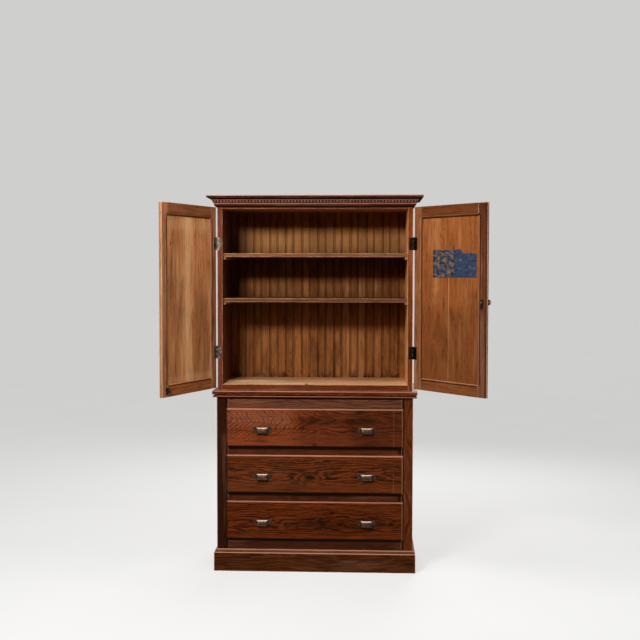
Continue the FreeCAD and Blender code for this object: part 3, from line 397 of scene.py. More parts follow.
SWAY = Noise((1.0, 1.0, 1.0))
HEAVE = replace(SWAY, shift=(19.1, 7.7, 3.3))
RIPPLE = Noise((26.0, 150.0, 150.0), 3.0)
CROOKED = Noise((9.0, 48.0, 0.0))
FIBRE = Noise((6.0, 95.0, 95.0), 5.0, 0.62, (0.45, 0.68))
BLOTCH = Noise((5.0, 11.0, 11.0), 4.0, 0.6, (0.5, 0.74))
HAZE = Noise((2.2, 16.0, 16.0), 3.0, 0.55, (0.52, 0.74))
BROKEN = Noise((11.0, 210.0, 210.0), 4.0, 0.6, (0.28, 0.6))
PORES = Noise((22.0, 190.0, 190.0), 3.0, 0.6, (0.56, 0.74))
RUB = Noise((60.0, 160.0, 160.0), 3.0, 0.6)
PATCHES = Noise((14.0, 22.0, 22.0), shows=(0.34, 0.62))
DIRT_SHOWS = (0.38, 0.6)


@dataclass(frozen=True)
class WoodFinish(Finish):
    """Stained and worn softwood: growth rings, fibres, blotched stain, rubbed edges."""

    early: Tone
    late: Tone
    # The worn tone is also the tone of the painted highlights that paler strips lay.
    worn: Tone
    deep: Tone
    pitch: float = 0.0048
    drift: float = 0.03
    drift_rate: tuple[float, float] = (2.2, 5.0)
    slopes: tuple[tuple[float, float, float], ...] = ()
    zigzag: float = 0.0
    ripple: float = 0.7
    calm: tuple[float, float, float] = (-9.0, -8.0, 1.0)
    figure: float = 0.75
    line_rise: tuple[float, float] = (0.1, 0.6)
    line_fall: tuple[float, float] = (1.0, 0.86)
    line_least: float = 0.3
    unbroken: float = 0.45
    streak: float = 0.35
    fleck: float = 0.45
    crevice: float = 0.0
    crevice_depth: tuple[float, float] = (0.3 * MM, 2.0 * MM)
    mottle: float = 0.35
    fade: float = 0.15
    tone_spread: float = 0.12
    wear: float = 0.7
    wear_least: float = 0.15
    wear_reach: float = 0.0035
    soil: float = 0.0
    soil_reach: float = 0.03
    rough: tuple[float, float] = (0.38, 0.6)
    rubbed_rough: float = 0.12
    gloss: float = 0.08
    varnish: Tone = (1.0, 0.55, 0.34)
    relief: tuple[float, float] = (0.5, 0.6)
    border: tuple[float, float, float] = (0.0, 0.0, 0.0)
    border_flank: bool = False
    bands: tuple[Band, ...] = ()
    knots: tuple[Knot, ...] = ()
    knot_stretch: float = 1.7
    knot_push: tuple[float, float] = (2.6, 0.6)
    knot_edge: tuple[float, float] = (1.25, 0.35)
    knot_ragged: float = 1.2

    def tinted(self, name: str, early: Screen, late: Optional[Screen] = None,
               **changes: object) -> "WoodFinish":
        """The same wood in other colours.

        Args:
            name: the new finish's name.
            early: screen colour of its early wood.
            late: screen colour of its late wood, if that changes.
            changes: other fields that change.

        Returns:
            The new finish.
        """
        if late is not None:
            changes["late"] = stain(*late)
        return replace(self, name=name, early=stain(*early), **changes)

    def rings(self, nodes: Shading, spot: BoardPoint) -> Socket:
        """Late wood of the growth rings, as the board's faces cut through them.

        Args:
            nodes: the material's nodes.
            spot: the point of the board.

        Returns:
            0 in early wood, towards 1 in the dark lines of late wood.
        """
        start, heart_across, heart_through = spot.cut
        where = nodes.stretched(spot.grain, (*self.drift_rate, 0.0), spot.shift)
        beside = nodes.math("ADD", spot.across, heart_across)
        behind = nodes.math("ADD", spot.through, heart_through)
        radius = nodes.length(nodes.ragged(beside, nodes.noise(SWAY, where), self.drift * 2),
                              nodes.ragged(behind, nodes.noise(HEAVE, where), self.drift * 2))
        ripple = nodes.noise(RIPPLE, spot.grain, nodes.vector(start))
        radius = nodes.ragged(radius, ripple, self.pitch * self.ripple)
        for low, high, rise in self.slopes:
            radius = nodes.math("ADD", radius, nodes.ease(spot.along, low, high, 0.0, rise))
        if self.zigzag:
            crooked = nodes.noise(CROOKED, spot.grain, nodes.vector(start, 0.0, start))
            radius = nodes.ragged(radius, crooked, self.zigzag)
        for knot in self.knots:
            reach, share = self.knot_push
            push = nodes.ease(self.knot_reach(nodes, knot, spot), reach, 0.0, 0.0, knot.radius * share)
            radius = nodes.math("ADD", radius, push)
        count = nodes.math("DIVIDE", radius, self.pitch)
        phase = nodes.math("FRACT", count)
        chance = nodes.chance(nodes.math("FLOOR", count))
        weight = nodes.math("MULTIPLY_ADD", chance, 1 - self.line_least, self.line_least)
        line = nodes.math("MULTIPLY", nodes.ease(phase, *self.line_rise), nodes.ease(phase, *self.line_fall))
        line = nodes.math("MULTIPLY", line, weight)
        quiet, lively, least = self.calm
        return nodes.math("MULTIPLY", line, nodes.ease(spot.across, quiet, lively, least, 1.0))

    def knot_reach(self, nodes: Shading, knot: Knot, spot: BoardPoint) -> Socket:
        """Distance from a knot's middle in its own radii.

        Args:
            nodes: the material's nodes.
            knot: the knot.
            spot: the point of the board.

        Returns:
            The distance.
        """
        long = nodes.math("SUBTRACT", spot.along, knot.along)
        wide = nodes.math("SUBTRACT", spot.across, knot.across)
        return nodes.length(nodes.math("MULTIPLY", long, 1 / (self.knot_stretch * knot.radius)),
                            nodes.math("MULTIPLY", wide, 1 / knot.radius))

    def edge(self, nodes: Shading, spot: BoardPoint) -> Socket:
        """Distance from a face's point to the nearest long edge of the board.

        Args:
            nodes: the material's nodes.
            spot: the point of the board.

        Returns:
            The distance in metres.
        """
        sizes = nodes.split(spot.half)
        first, second, third = (nodes.math("SUBTRACT", size, nodes.math("ABSOLUTE", place))
                                for size, place in zip(sizes, (spot.along, spot.across, spot.through)))
        smaller, larger = nodes.math("MINIMUM", first, second), nodes.math("MAXIMUM", first, second)
        return nodes.math("MAXIMUM", smaller, nodes.math("MINIMUM", larger, third))

    def with_band(self, nodes: Shading, colour: Fed, band: Band, spot: BoardPoint, haze: Fed) -> Socket:
        """Lays a strip over the colour.

        Args:
            nodes: the material's nodes.
            colour: the colour so far.
            band: the strip.
            spot: the point of the board.
            haze: soft noise that breaks the strip.

        Returns:
            The colour with the strip.
        """
        torn = 1.4
        counted = {Way.ACROSS: spot.across, Way.ALONG: spot.along, Way.THROUGH: spot.through}[band.way]
        run = spot.across if band.way is Way.ALONG else spot.along
        away = nodes.math("ABSOLUTE", nodes.math("SUBTRACT", counted, band.offset))
        away = nodes.ragged(away, haze, band.half_width * torn * band.softness)
        core = band.half_width * (1 - band.softness)
        mask = nodes.ease(away, band.half_width, core, 0.0, abs(band.amount))
        mask = nodes.math("MULTIPLY", mask, nodes.ease(run, band.low - band.fade, band.low + band.fade))
        mask = nodes.math("MULTIPLY", mask, nodes.ease(run, band.high + band.fade, band.high - band.fade))
        # Paler strips mix in the worn tone and darker ones the deep tone; most strips in the finishes below
        # are painted highlights and painted shade.
        return nodes.mix(colour, self.worn if band.amount > 0 else self.deep, mask)

    def darkened(self, nodes: Shading, colour: Fed, spot: BoardPoint, rub: Fed, patches: Fed) -> Socket:
        """Lays painted shade with dirt in crevices, the painted shade of a panel's border and the dirt of the
        foot over the colour.

        Args:
            nodes: the material's nodes.
            colour: the colour so far.
            spot: the point of the board.
            rub: fine noise that frays the dark.
            patches: broad noise that breaks it up.

        Returns:
            The darkened colour.
        """
        half_along, half_across, half_through = nodes.split(spot.half)
        # Painted shade with dirt: darkest deep in sunk grooves.
        if self.crevice:
            sunk = nodes.math("ADD", spot.through, half_through)
            colour = nodes.mix(colour, self.deep, nodes.ease(sunk, *self.crevice_depth, 0.0, self.crevice))
        inset, width, amount = self.border
        if amount:
            near = nodes.math("SUBTRACT", half_along, spot.along)
            if self.border_flank:
                near = nodes.math("MINIMUM", near, nodes.math("SUBTRACT", half_across, spot.across))
            rim = nodes.ragged(near, rub, width)
            colour = nodes.mix(colour, self.deep, nodes.ease(rim, inset + width, inset, 0.0, amount))
        if self.soil:
            frayed = 2.5
            foot = nodes.ragged(nodes.math("ADD", spot.along, half_along), rub, self.soil_reach * frayed)
            dirt = nodes.math("MULTIPLY", nodes.ease(foot, self.soil_reach, 0.0),
                              nodes.ease(patches, *DIRT_SHOWS, 0.0, self.soil))
            colour = nodes.mix(colour, self.deep, dirt)
        return colour

    def paint(self, nodes: Shading) -> None:
        """Lays rings, fibres, strips, knots, wear and dirt over one another; many strips are painted
        highlights and painted shade.

        Args:
            nodes: the material's nodes.
        """
        spot = BoardPoint.read(nodes)
        kinds = (FIBRE, BLOTCH, HAZE, BROKEN, PORES, RUB, PATCHES)
        fibre, blotch, haze, broken, pores, rub, patches = (
            nodes.noise(kind, spot.grain, spot.shift) for kind in kinds)
        whole = nodes.ease(broken, *BROKEN.shows, self.unbroken, 1.0)
        late = nodes.math("MULTIPLY", self.rings(nodes, spot), whole)
        colour = nodes.mix(self.early, self.late, nodes.math("MULTIPLY", late, self.figure))
        colour = nodes.layered(
            colour, (pores, PORES, self.deep, self.fleck), (fibre, FIBRE, self.deep, self.streak),
            (blotch, BLOTCH, self.deep, self.mottle), (haze, HAZE, self.worn, self.fade))
        for band in self.bands:
            colour = self.with_band(nodes, colour, band, spot, haze)
        for knot in self.knots:
            near = nodes.ragged(self.knot_reach(nodes, knot, spot), blotch, self.knot_ragged)
            colour = nodes.mix(colour, self.deep, nodes.ease(near, *self.knot_edge, 0.0, knot.depth))
        tone = nodes.attribute("tone", "Fac")
        colour = nodes.brightened(colour, nodes.math("MULTIPLY_ADD", tone, self.tone_spread, 1.0))
        edge = nodes.ragged(self.edge(nodes, spot), rub, self.wear_reach * 2.0)
        rubbed = nodes.math("MULTIPLY", nodes.ease(edge, self.wear_reach, 0.0),
                            nodes.ease(patches, *PATCHES.shows, self.wear_least, self.wear))
        colour = nodes.mix(colour, self.worn, rubbed)
        nodes.give("Base Color", self.darkened(nodes, colour, spot, rub, patches))
        rough = nodes.between(*self.rough, blotch, fibre)
        nodes.give("Roughness", nodes.math("MULTIPLY_ADD", rubbed, self.rubbed_rough, rough))
        nodes.give("Specular IOR Level", self.gloss)
        nodes.give("Specular Tint", self.varnish)
        of_lines, of_fibres = self.relief
        height = nodes.math("MULTIPLY_ADD", late, of_lines, nodes.math("MULTIPLY", fibre, of_fibres))
        nodes.bump(height, 0.35, 0.5 * MM)


CLOUD = Noise((90.0, 90.0, 90.0), 4.0, 0.6, (0.45, 0.72))
SPECK = Noise((420.0, 420.0, 420.0), 3.0, 0.65, (0.56, 0.7))
BRUSHED = Noise((260.0, 260.0, 1500.0))


@dataclass(frozen=True)
class MetalFinish(Finish):
    """Old metal: dull skin, brighter where hands and edges rub it, a painted highlight with hand wear along
    the crests of pieces that have them, spots of rust.
    """

    skin: Tone
    bright: Tone
    rust: Tone
    rubbed: float = 0.4
    rusted: float = 0.25
    rough: tuple[float, float] = (0.32, 0.6)
    # How the painted highlight with hand wear along the crests frays, where it shows, and how much smoother
    # and less metallic it is.
    crest_ragged: float = 0.3
    crest_shows: tuple[float, float] = (0.25, 0.8)
    crest_polish: float = -0.1
    crest_dulling: float = -0.7
    relief: tuple[float, float] = (0.6, 0.25)

    def paint(self, nodes: Shading) -> None:
        """Lays skin, rubbed patches, the painted highlight with hand wear of the crests, and rust over one
        another.

        Args:
            nodes: the material's nodes.
        """
        place = nodes.place()
        cloud, speck, brushed = (nodes.noise(kind, place) for kind in (CLOUD, SPECK, BRUSHED))
        colour = nodes.layered(self.skin, (cloud, CLOUD, self.bright, self.rubbed),
                               (speck, SPECK, self.rust, self.rusted))
        # Painted highlight with hand wear along the crests: bright, smoother and less metallic.
        crest = nodes.ragged(nodes.attribute("crest", "Fac"), cloud, self.crest_ragged)
        rubbed = nodes.ease(crest, *self.crest_shows)
        nodes.give("Base Color", nodes.mix(colour, self.bright, rubbed))
        rough = nodes.between(*self.rough, cloud, speck)
        nodes.give("Roughness", nodes.math("MULTIPLY_ADD", rubbed, self.crest_polish, rough))
        nodes.give("Metallic", nodes.math("MULTIPLY_ADD", rubbed, self.crest_dulling, 1.0))
        of_specks, of_strokes = self.relief
        height = nodes.math("MULTIPLY_ADD", speck, of_specks, nodes.math("MULTIPLY", brushed, of_strokes))
        nodes.bump(height, 0.3, 0.2 * MM)


FADED = Noise((22.0, 30.0, 22.0), 4.0, 0.6, (0.42, 0.7))
SCUFFS = Noise((40.0, 52.0, 40.0), 5.0, 0.68, (0.56, 0.68), (4.0, 2.0, 0.0))
SPOTS = Noise((62.0, 80.0, 62.0), 3.0, 0.6, (0.54, 0.64), (9.0, 5.0, 0.0))
FUZZ = Noise((700.0, 700.0, 700.0), 3.0, shows=(0.6, 0.8))
CREASE = Noise((14.0, 120.0, 14.0), 3.0, 0.6, (0.62, 0.7), (2.0, 8.0, 0.0))


@dataclass(frozen=True)
class PaperFinish(Finish):
    """A faded paper label, bare, with rubbed patches and creases, worn most towards the hinge."""

    ink: Tone
    dark: Tone
    bare: Tone
    rubbed_from: float = 0.17
    rubbed_to: float = 0.13
    rubbed: float = 0.1
    clouded: float = 0.6
    spotted: float = 0.85
    scuffed: float = 0.85
    creased: float = 0.45
    fuzzy: float = 0.25
    rough: tuple[float, float] = (0.6, 0.85)
    crease_height: float = 0.6

    def paint(self, nodes: Shading) -> None:
        """Lays blotches, rubbed patches and creases over one another.

        Args:
            nodes: the material's nodes.
        """
        sheet = nodes.attribute("sheet")
        faded, scuffs, spots, fuzz, crease = (
            nodes.noise(kind, sheet) for kind in (FADED, SCUFFS, SPOTS, FUZZ, CREASE))
        side = nodes.ease(nodes.split(sheet)[0], self.rubbed_to, self.rubbed_from, self.rubbed, 0.0)
        nodes.give("Base Color", nodes.layered(
            self.ink, (faded, FADED, self.dark, self.clouded),
            (nodes.math("ADD", side, spots), SPOTS, self.dark, self.spotted),
            (nodes.math("ADD", side, scuffs), SCUFFS, self.bare, self.scuffed),
            (crease, CREASE, self.bare, self.creased), (fuzz, FUZZ, self.bare, self.fuzzy)))
        nodes.give("Roughness", nodes.ease(scuffs, 0.2, 0.8, *self.rough))
        nodes.give("Specular IOR Level", 0.25)
        nodes.bump(nodes.math("MULTIPLY_ADD", crease, self.crease_height, scuffs), 0.4, 0.3 * MM)


def wood(name: str, slot: Slot, *tones: Screen, **fields: object) -> WoodFinish:
    """A wood from the screen colours of its early, late, worn and deep parts."""
    return WoodFinish(name, slot, *(stain(*tone) for tone in tones), **fields)


def metal(name: str, slot: Slot, tones: Sequence[Screen], rubbed: float, rusted: float) -> MetalFinish:
    """A metal from the screen colours of its skin, bright crests and rust."""
    return MetalFinish(name, slot, *(stain(*tone) for tone in tones), rubbed, rusted)


CASE_STAIN = wood(
    "case_stain", Slot.STAINED_WOOD, (112, 48, 20), (44, 15, 6), (210, 144, 112), (22, 8, 4),
    figure=0.8, rough=(0.3, 0.48), wear=0.85, wear_reach=0.003,
)
# The dark strips on both stiles are painted shade beside the drawer fronts.
LEFT_STILE_STAIN = CASE_STAIN.tinted(
    "left_stile_stain", (52, 22, 10), (26, 10, 5), deep=stain(14, 6, 4), bands=(Band(0.022, 0.008, -0.7),))
RIGHT_STILE_STAIN = CASE_STAIN.tinted(
    "right_stile_stain", (115, 54, 22), (53, 22, 9), bands=(Band(-0.022, 0.009, -0.85),))
# Its dark strip is a painted shadow under the waist moulding.
TOP_RAIL_STAIN = CASE_STAIN.tinted(
    "top_rail_stain", (128, 77, 54), (60, 30, 19), bands=(Band(0.022, 0.009, -0.96, softness=0.4),))
LEFT_EDGE_STAIN = CASE_STAIN.tinted("left_edge_stain", (114, 59, 40), (54, 24, 14))
RIGHT_EDGE_STAIN = CASE_STAIN.tinted("right_edge_stain", (132, 66, 22), (66, 29, 10))
FLOOR_EDGE_STAIN = CASE_STAIN.tinted("floor_edge_stain", (116, 56, 31), (48, 18, 9))
# The rails' dark strips are painted shadows under each drawer's lip and beside the drawers' right ends; the
# sill's is a painted shadow under the bottom drawer's lip.
RAIL_STAIN = CASE_STAIN.tinted(
    "rail_stain", (96, 46, 24), (52, 22, 10),
    bands=(Band(0.018, 0.016, -0.97, softness=0.4), Band(0.0, 0.02, -0.9, low=0.425, fade=0.01)))
SILL_STAIN = RAIL_STAIN.tinted("sill_stain", (72, 35, 18), bands=(Band(0.034, 0.014, -0.96, softness=0.4),))
# Its strips paint shade in the coves and highlights on the rounds.
CROWN_STAIN = wood(
    "crown_stain", Slot.STAINED_WOOD, (98, 46, 28), (44, 18, 10), (214, 156, 132), (18, 7, 4),
    figure=0.6, rough=(0.28, 0.44), wear=0.3, wear_reach=0.002, fade=0.1, gloss=0.0,
    bands=(Band(0.018, 0.007, -0.75), Band(0.0115, 0.0018, 0.5), Band(-0.0065, 0.0024, 0.75),
           Band(-0.0205, 0.006, -0.8)),
)
# The slab's strips are a painted highlight along its upper edge and painted shade below it.
SLAB_STAIN = CROWN_STAIN.tinted(
    "slab_stain", (88, 42, 26),
    bands=(Band(0.004, 0.003, 0.75, way=Way.THROUGH), Band(-0.004, 0.005, -0.8, way=Way.THROUGH)))
TOP_STAIN = CROWN_STAIN.tinted("crown_top_stain", (80, 44, 30), bands=(), fade=0.14, mottle=0.5)
# The beads are a paler copy of the crown's wood as painted highlight; the fillet behind them is dark as
# painted shade.
LIT_BEAD_STAIN = CROWN_STAIN.tinted("bead_stain", (176, 112, 84), (120, 66, 46), bands=())
SHADED_FILLET_STAIN = CROWN_STAIN.tinted("fillet_stain", (40, 17, 10), (24, 10, 6), bands=())
# The waist's strips are a painted highlight along its upper edge and painted shade below it.
WAIST_STAIN = replace(
    CASE_STAIN, name="waist_stain", wear=0.5, wear_reach=0.002, gloss=0.0,
    bands=(Band(0.0065, 0.0028, 0.6, way=Way.THROUGH), Band(-0.008, 0.003, -0.7, way=Way.THROUGH)))
# The nose's strips are a painted shadow on its neck under the waist board and a painted highlight on its
# nose.
NOSE_STAIN = replace(
    CASE_STAIN, name="nose_stain", wear=0.3, wear_reach=0.0015, gloss=0.0,
    bands=(Band(0.005, 0.0045, -0.95, softness=0.4, way=Way.THROUGH),
           Band(-0.001, 0.0014, 0.5, way=Way.THROUGH)))
# Its paler strips are painted highlights along the top edges of the cap and the board, with a faint paler
# strip between them.
PLINTH_STAIN = wood(
    "plinth_stain", Slot.STAINED_WOOD, (92, 46, 18), (40, 17, 6), (220, 156, 122), (20, 9, 5),
    pitch=0.0075, zigzag=0.012, figure=0.9, streak=0.55, mottle=0.55, rough=(0.32, 0.5), wear=0.85,
    wear_reach=0.004, fade=0.1,
    bands=(Band(0.0385, 0.003, 0.62), Band(0.054, 0.003, 0.5), Band(0.0465, 0.006, 0.12)),
)

# Painted highlights along the lips' upper and right bevels, painted shade along their lower and left edges.
LIP_HIGHLIGHTS_AND_SHADE = (
    Band(0.0957, 0.0033, 0.56, softness=0.4),
    Band(-0.0955, 0.006, -0.9, softness=0.4),
    Band(0.4465, 0.0034, 0.42, softness=0.4, way=Way.ALONG),
    Band(-0.4465, 0.004, -0.5, softness=0.4, way=Way.ALONG),
)
DRAWER_FIELDS = {"rough": (0.3, 0.46), "wear": 0.5, "wear_reach": 0.002, "fade": 0.03}
TOP_DRAWER_STAIN = wood(
    "top_drawer_stain", Slot.STAINED_WOOD, (148, 71, 37), (24, 8, 4), (214, 146, 114), (22, 8, 4),
    pitch=0.0112, line_rise=(0.25, 0.62), line_least=0.4, drift=0.024, drift_rate=(3.8, 9.0),
    slopes=((-0.56, 0.06, 0.22),), zigzag=0.026, calm=(-0.055, -0.015, 0.35), figure=0.9, streak=0.5,
    bands=(Band(0.05, 0.06, 0.12, -0.46, -0.12, 0.8), Band(0.0, 0.5, -0.35, -0.1, 0.6, 0.2),
           Band(0.0, 0.5, -0.38, 0.18, 0.6, 0.2), Band(0.035, 0.03, -0.5, -0.08, 0.3, 0.9),
           Band(0.402, 0.005, 0.07, softness=0.9, way=Way.ALONG), *LIP_HIGHLIGHTS_AND_SHADE),
    knots=(Knot(-0.06, 0.0, 0.009, 0.6), Knot(0.0, -0.085, 0.009, 0.6), Knot(0.385, -0.06, 0.006, 0.6)),
    **DRAWER_FIELDS,
)
MIDDLE_DRAWER_STAIN = wood(
    "middle_drawer_stain", Slot.STAINED_WOOD, (110, 52, 22), (25, 9, 4), (212, 146, 116), (20, 7, 4),
    pitch=0.0082, line_rise=(0.27, 0.62), line_least=0.5, drift=0.022, drift_rate=(3.2, 7.0),
    zigzag=0.018, calm=(-0.06, -0.025, 0.4), figure=1.0, streak=0.55,
    bands=(Band(0.402, 0.005, 0.1, high=0.01, softness=0.9, way=Way.ALONG), *LIP_HIGHLIGHTS_AND_SHADE),
    knots=(Knot(-0.027, -0.011, 0.021, 0.7), Knot(0.082, -0.04, 0.005, 0.6)),
    **DRAWER_FIELDS,
)
BOTTOM_DRAWER_STAIN = wood(
    "bottom_drawer_stain", Slot.STAINED_WOOD, (117, 50, 16), (26, 9, 4), (208, 140, 108), (18, 7, 4),
    pitch=0.008, line_rise=(0.27, 0.62), line_least=0.5, drift=0.018, drift_rate=(3.6, 9.0),
    zigzag=0.02, calm=(-0.085, -0.06, 0.4), figure=1.0, streak=0.6, mottle=0.4,
    bands=(Band(-0.015, 0.045, -0.45, -0.08, 0.42, 0.9), Band(-0.03, 0.025, -0.4, 0.0, 0.12, 0.9),
           *LIP_HIGHLIGHTS_AND_SHADE),
    knots=(Knot(-0.18, -0.01, 0.007, 0.6), Knot(-0.1, -0.015, 0.009, 0.6), Knot(0.03, -0.005, 0.014, 0.7),
           Knot(0.09, 0.04, 0.008, 0.7), Knot(0.13, -0.02, 0.009, 0.7), Knot(0.39, -0.015, 0.008, 0.7)),
    **DRAWER_FIELDS,
)

# Its crevice darkening paints shade with dirt into the grooves beside the beads.
BACK_WOOD = wood(
    "back_board_wood", Slot.INNER_WOOD, (154, 96, 52), (93, 51, 23), (204, 148, 94), (34, 17, 8),
    pitch=0.0045, drift=0.015, figure=0.35, streak=0.4, fleck=0.7, mottle=0.5, tone_spread=0.16,
    wear=0.1, wear_reach=0.002, soil=1.0, soil_reach=0.08, rough=(0.42, 0.64), crevice=0.97, fade=0.35,
)
UPPER_SHELF_WOOD = wood(
    "upper_shelf_wood", Slot.INNER_WOOD, (136, 88, 58), (85, 49, 31), (226, 176, 130), (50, 27, 15),
    pitch=0.0055, figure=0.65, streak=0.45, wear=0.5, wear_reach=0.004, rough=(0.44, 0.66),
)
LOWER_SHELF_WOOD = UPPER_SHELF_WOOD.tinted("lower_shelf_wood", (113, 66, 42), (72, 38, 22))
CLEAT_WOOD = UPPER_SHELF_WOOD.tinted("cleat_wood", (176, 126, 88), (120, 78, 50))
FLOOR_WOOD = wood(
    "cupboard_floor_wood", Slot.INNER_WOOD, (209, 159, 113), (171, 117, 73), (248, 220, 184), (100, 60, 34),
    pitch=0.006, figure=0.6, streak=0.45, mottle=0.4, fade=0.5, wear=0.5, rough=(0.5, 0.72),
)
# The two inner walls are copies of one wood: the left one darker as painted shade, the right one paler as
# painted light.
SHADED_LEFT_WALL_WOOD = wood(
    "left_wall_wood", Slot.INNER_WOOD, (96, 54, 30), (60, 32, 18), (150, 100, 66), (30, 16, 9),
    figure=0.6, wear=0.3,
)
LIT_RIGHT_WALL_WOOD = wood(
    "right_wall_wood", Slot.INNER_WOOD, (235, 170, 110), (177, 115, 69), (240, 186, 130), (80, 42, 20),
    figure=0.6, wear=0.3,
)
CEILING_WOOD = LIT_RIGHT_WALL_WOOD.tinted("ceiling_wood", (170, 112, 68), (116, 70, 40))

DOOR_ROUGH = (0.36, 0.58)
DOOR_FRAME_FIELDS = {"pitch": 0.005, "drift": 0.012, "wear_reach": 0.003, "rough": DOOR_ROUGH}
# Its border darkening is painted shade under the top rail.
LEFT_PANEL_WOOD = wood(
    "left_panel_wood", Slot.DOOR_WOOD, (213, 141, 88), (123, 70, 36), (244, 200, 142), (58, 30, 15),
    drift=0.02, drift_rate=(1.0, 3.0), figure=0.6, streak=0.42, fleck=0.75, mottle=0.4, fade=0.25,
    wear=0.0, rough=DOOR_ROUGH, border=(0.008, 0.005, 0.95),
    bands=(
        Band(0.018, 0.05, 0.36, softness=0.9),
        Band(-0.085, 0.06, -0.42, -0.37, 0.06, 0.9, 0.09),
        Band(-0.058, 0.0014, -0.8, softness=0.3),
        Band(0.041, 0.0012, -0.6, softness=0.3),
        Band(0.13, 0.07, -0.3, softness=0.9),
        Band(-0.15, 0.06, -0.35, high=0.0, softness=0.8),
        Band(0.157, 0.006, -0.7, 0.14, 0.22, 0.6),
        Band(-0.385, 0.03, 0.15, softness=0.9, way=Way.ALONG),
        Band(0.36, 0.05, 0.15, softness=0.9, way=Way.ALONG),
    ),
    knots=(Knot(0.267, 0.165, 0.007, 0.8),),
)
LEFT_STILE_WOOD = wood(
    "left_stile_wood", Slot.DOOR_WOOD, (168, 104, 62), (105, 57, 30), (234, 184, 144), (54, 27, 15),
    figure=0.6, streak=0.5, fleck=0.75, mottle=0.45, fade=0.3, wear=0.4, **DOOR_FRAME_FIELDS,
)
LEFT_MEETING_WOOD = LEFT_STILE_WOOD.tinted("left_meeting_wood", (176, 116, 78))
LEFT_RAIL_WOOD = wood(
    "left_rail_wood", Slot.DOOR_WOOD, (141, 84, 49), (90, 47, 24), (220, 164, 118), (48, 24, 12),
    figure=0.5, streak=0.4, fleck=0.6, wear=0.25, **DOOR_FRAME_FIELDS,
)
LEFT_FOOT_WOOD = LEFT_RAIL_WOOD.tinted("left_foot_wood", (165, 95, 49), (106, 53, 24))
# Its border darkening is painted shade under the top rail and beside the hinge stile.
RIGHT_PANEL_WOOD = wood(
    "right_panel_wood", Slot.DOOR_WOOD, (145, 83, 42), (86, 42, 18), (216, 152, 96), (44, 20, 9),
    pitch=0.005, drift_rate=(3.0, 6.0), figure=0.6, streak=0.38, fleck=0.75, mottle=0.5, fade=0.2,
    wear=0.0, rough=DOOR_ROUGH, border=(0.008, 0.005, 0.97), border_flank=True,
    bands=(
        Band(0.013, 0.0014, -0.6, softness=0.3),
        Band(0.006, 0.004, 0.35, high=0.1, softness=0.6),
        Band(0.0, 0.4, -0.28, high=-0.05, softness=0.2),
        Band(0.1, 0.05, 0.12, low=0.0, softness=0.8),
    ),
    knots=(Knot(-0.41, 0.052, 0.004, 0.9),),
)
RIGHT_STILE_WOOD = wood(
    "right_stile_wood", Slot.DOOR_WOOD, (143, 88, 53), (92, 53, 28), (228, 178, 146), (42, 20, 10),
    figure=0.5, streak=0.45, fleck=0.65, mottle=0.45, wear=0.25, **DOOR_FRAME_FIELDS,
)
RIGHT_MEETING_WOOD = RIGHT_STILE_WOOD.tinted(
    "right_meeting_wood", (104, 57, 31), (64, 33, 17),
    bands=(Band(0.0, 0.1, -0.5, low=0.3, fade=0.2), Band(0.0, 0.1, 0.08, high=-0.15, fade=0.2)))
RIGHT_RAIL_WOOD = RIGHT_STILE_WOOD.tinted("right_rail_wood", (101, 54, 26), (66, 31, 13))
RIGHT_FOOT_WOOD = RIGHT_STILE_WOOD.tinted("right_foot_wood", (135, 78, 41), (90, 47, 23))
RAW_WOOD = wood(
    "bare_pine", Slot.RAW_WOOD, (176, 132, 88), (132, 90, 54), (206, 166, 122), (84, 56, 34),
    pitch=0.0055, figure=0.6, wear=0.3, rough=(0.6, 0.85), gloss=0.1, mottle=0.4,
)

# The bronze's bright tone serves its rubbed patches and the painted highlight along the pulls' crests.
PULL_IRON = metal("worn_bronze", Slot.PULL_IRON, ((62, 45, 36), (194, 158, 136), (32, 19, 13)), 0.12, 0.5)
HINGE_STEEL = metal("hinge_steel", Slot.STEEL, ((66, 56, 46), (164, 146, 128), (46, 30, 20)), 0.7, 0.7)
HINGE_IRON = metal("hinge_iron", Slot.STEEL, ((31, 19, 10), (62, 43, 28), (28, 15, 7)), 0.5, 0.5)
DARK_IRON = metal("blackened_iron", Slot.DARK_IRON, ((62, 50, 44), (140, 120, 104), (64, 36, 24)), 0.35, 0.35)
KNOB_BRASS = metal("turned_brass", Slot.KNOB_BRASS, ((120, 92, 58), (206, 170, 112), (76, 50, 30)), 0.5, 0.2)
LABEL_PAPER = PaperFinish(
    "label_paper", Slot.DOOR_WOOD, stain(38, 57, 84), stain(16, 15, 16), stain(116, 92, 68))


def steady(word: str) -> random.Random:
    """A random source that is the same for the same word on every run."""
    return random.Random(zlib.crc32(word.encode()))


def corners(spots: Sequence[Vector]) -> tuple[Vector, Vector]:
    """Lowest and highest corners of the box round some points."""
    low, high = ([pick(spot[axis] for spot in spots) for axis in range(3)] for pick in (min, max))
    return Vector(low), Vector(high)


def add_object(name: str, mesh: bpy.types.Mesh) -> Piece:
    """Puts a mesh into the scene as an object at the origin.

    Args:
        name: the object's name.
        mesh: its mesh.

    Returns:
        The object.
    """
    thing = bpy.data.objects.new(name, mesh)
    bpy.context.scene.collection.objects.link(thing)
    return thing


def from_points(name: str, points: Sequence[Sequence[float]], edges: Sequence[Sequence[int]] = (),
                faces: Sequence[Sequence[int]] = ()) -> Piece:
    """Makes an object from points, with edges or faces if they are given.

    Args:
        name: the object's name.
        points: the points.
        edges: pairs of point numbers.
        faces: rings of point numbers.

    Returns:
        The object.
    """
    mesh = bpy.data.meshes.new(name)
    mesh.from_pydata(points, edges, faces)
    return add_object(name, mesh)


def from_bmesh(name: str, bm: WorkMesh) -> Piece:
    """Turns a working mesh into an object and frees it.

    Args:
        name: the object's name.
        bm: the working mesh.

    Returns:
        The object.
    """
    mesh = bpy.data.meshes.new(name)
    bm.to_mesh(mesh)
    bm.free()
    return add_object(name, mesh)


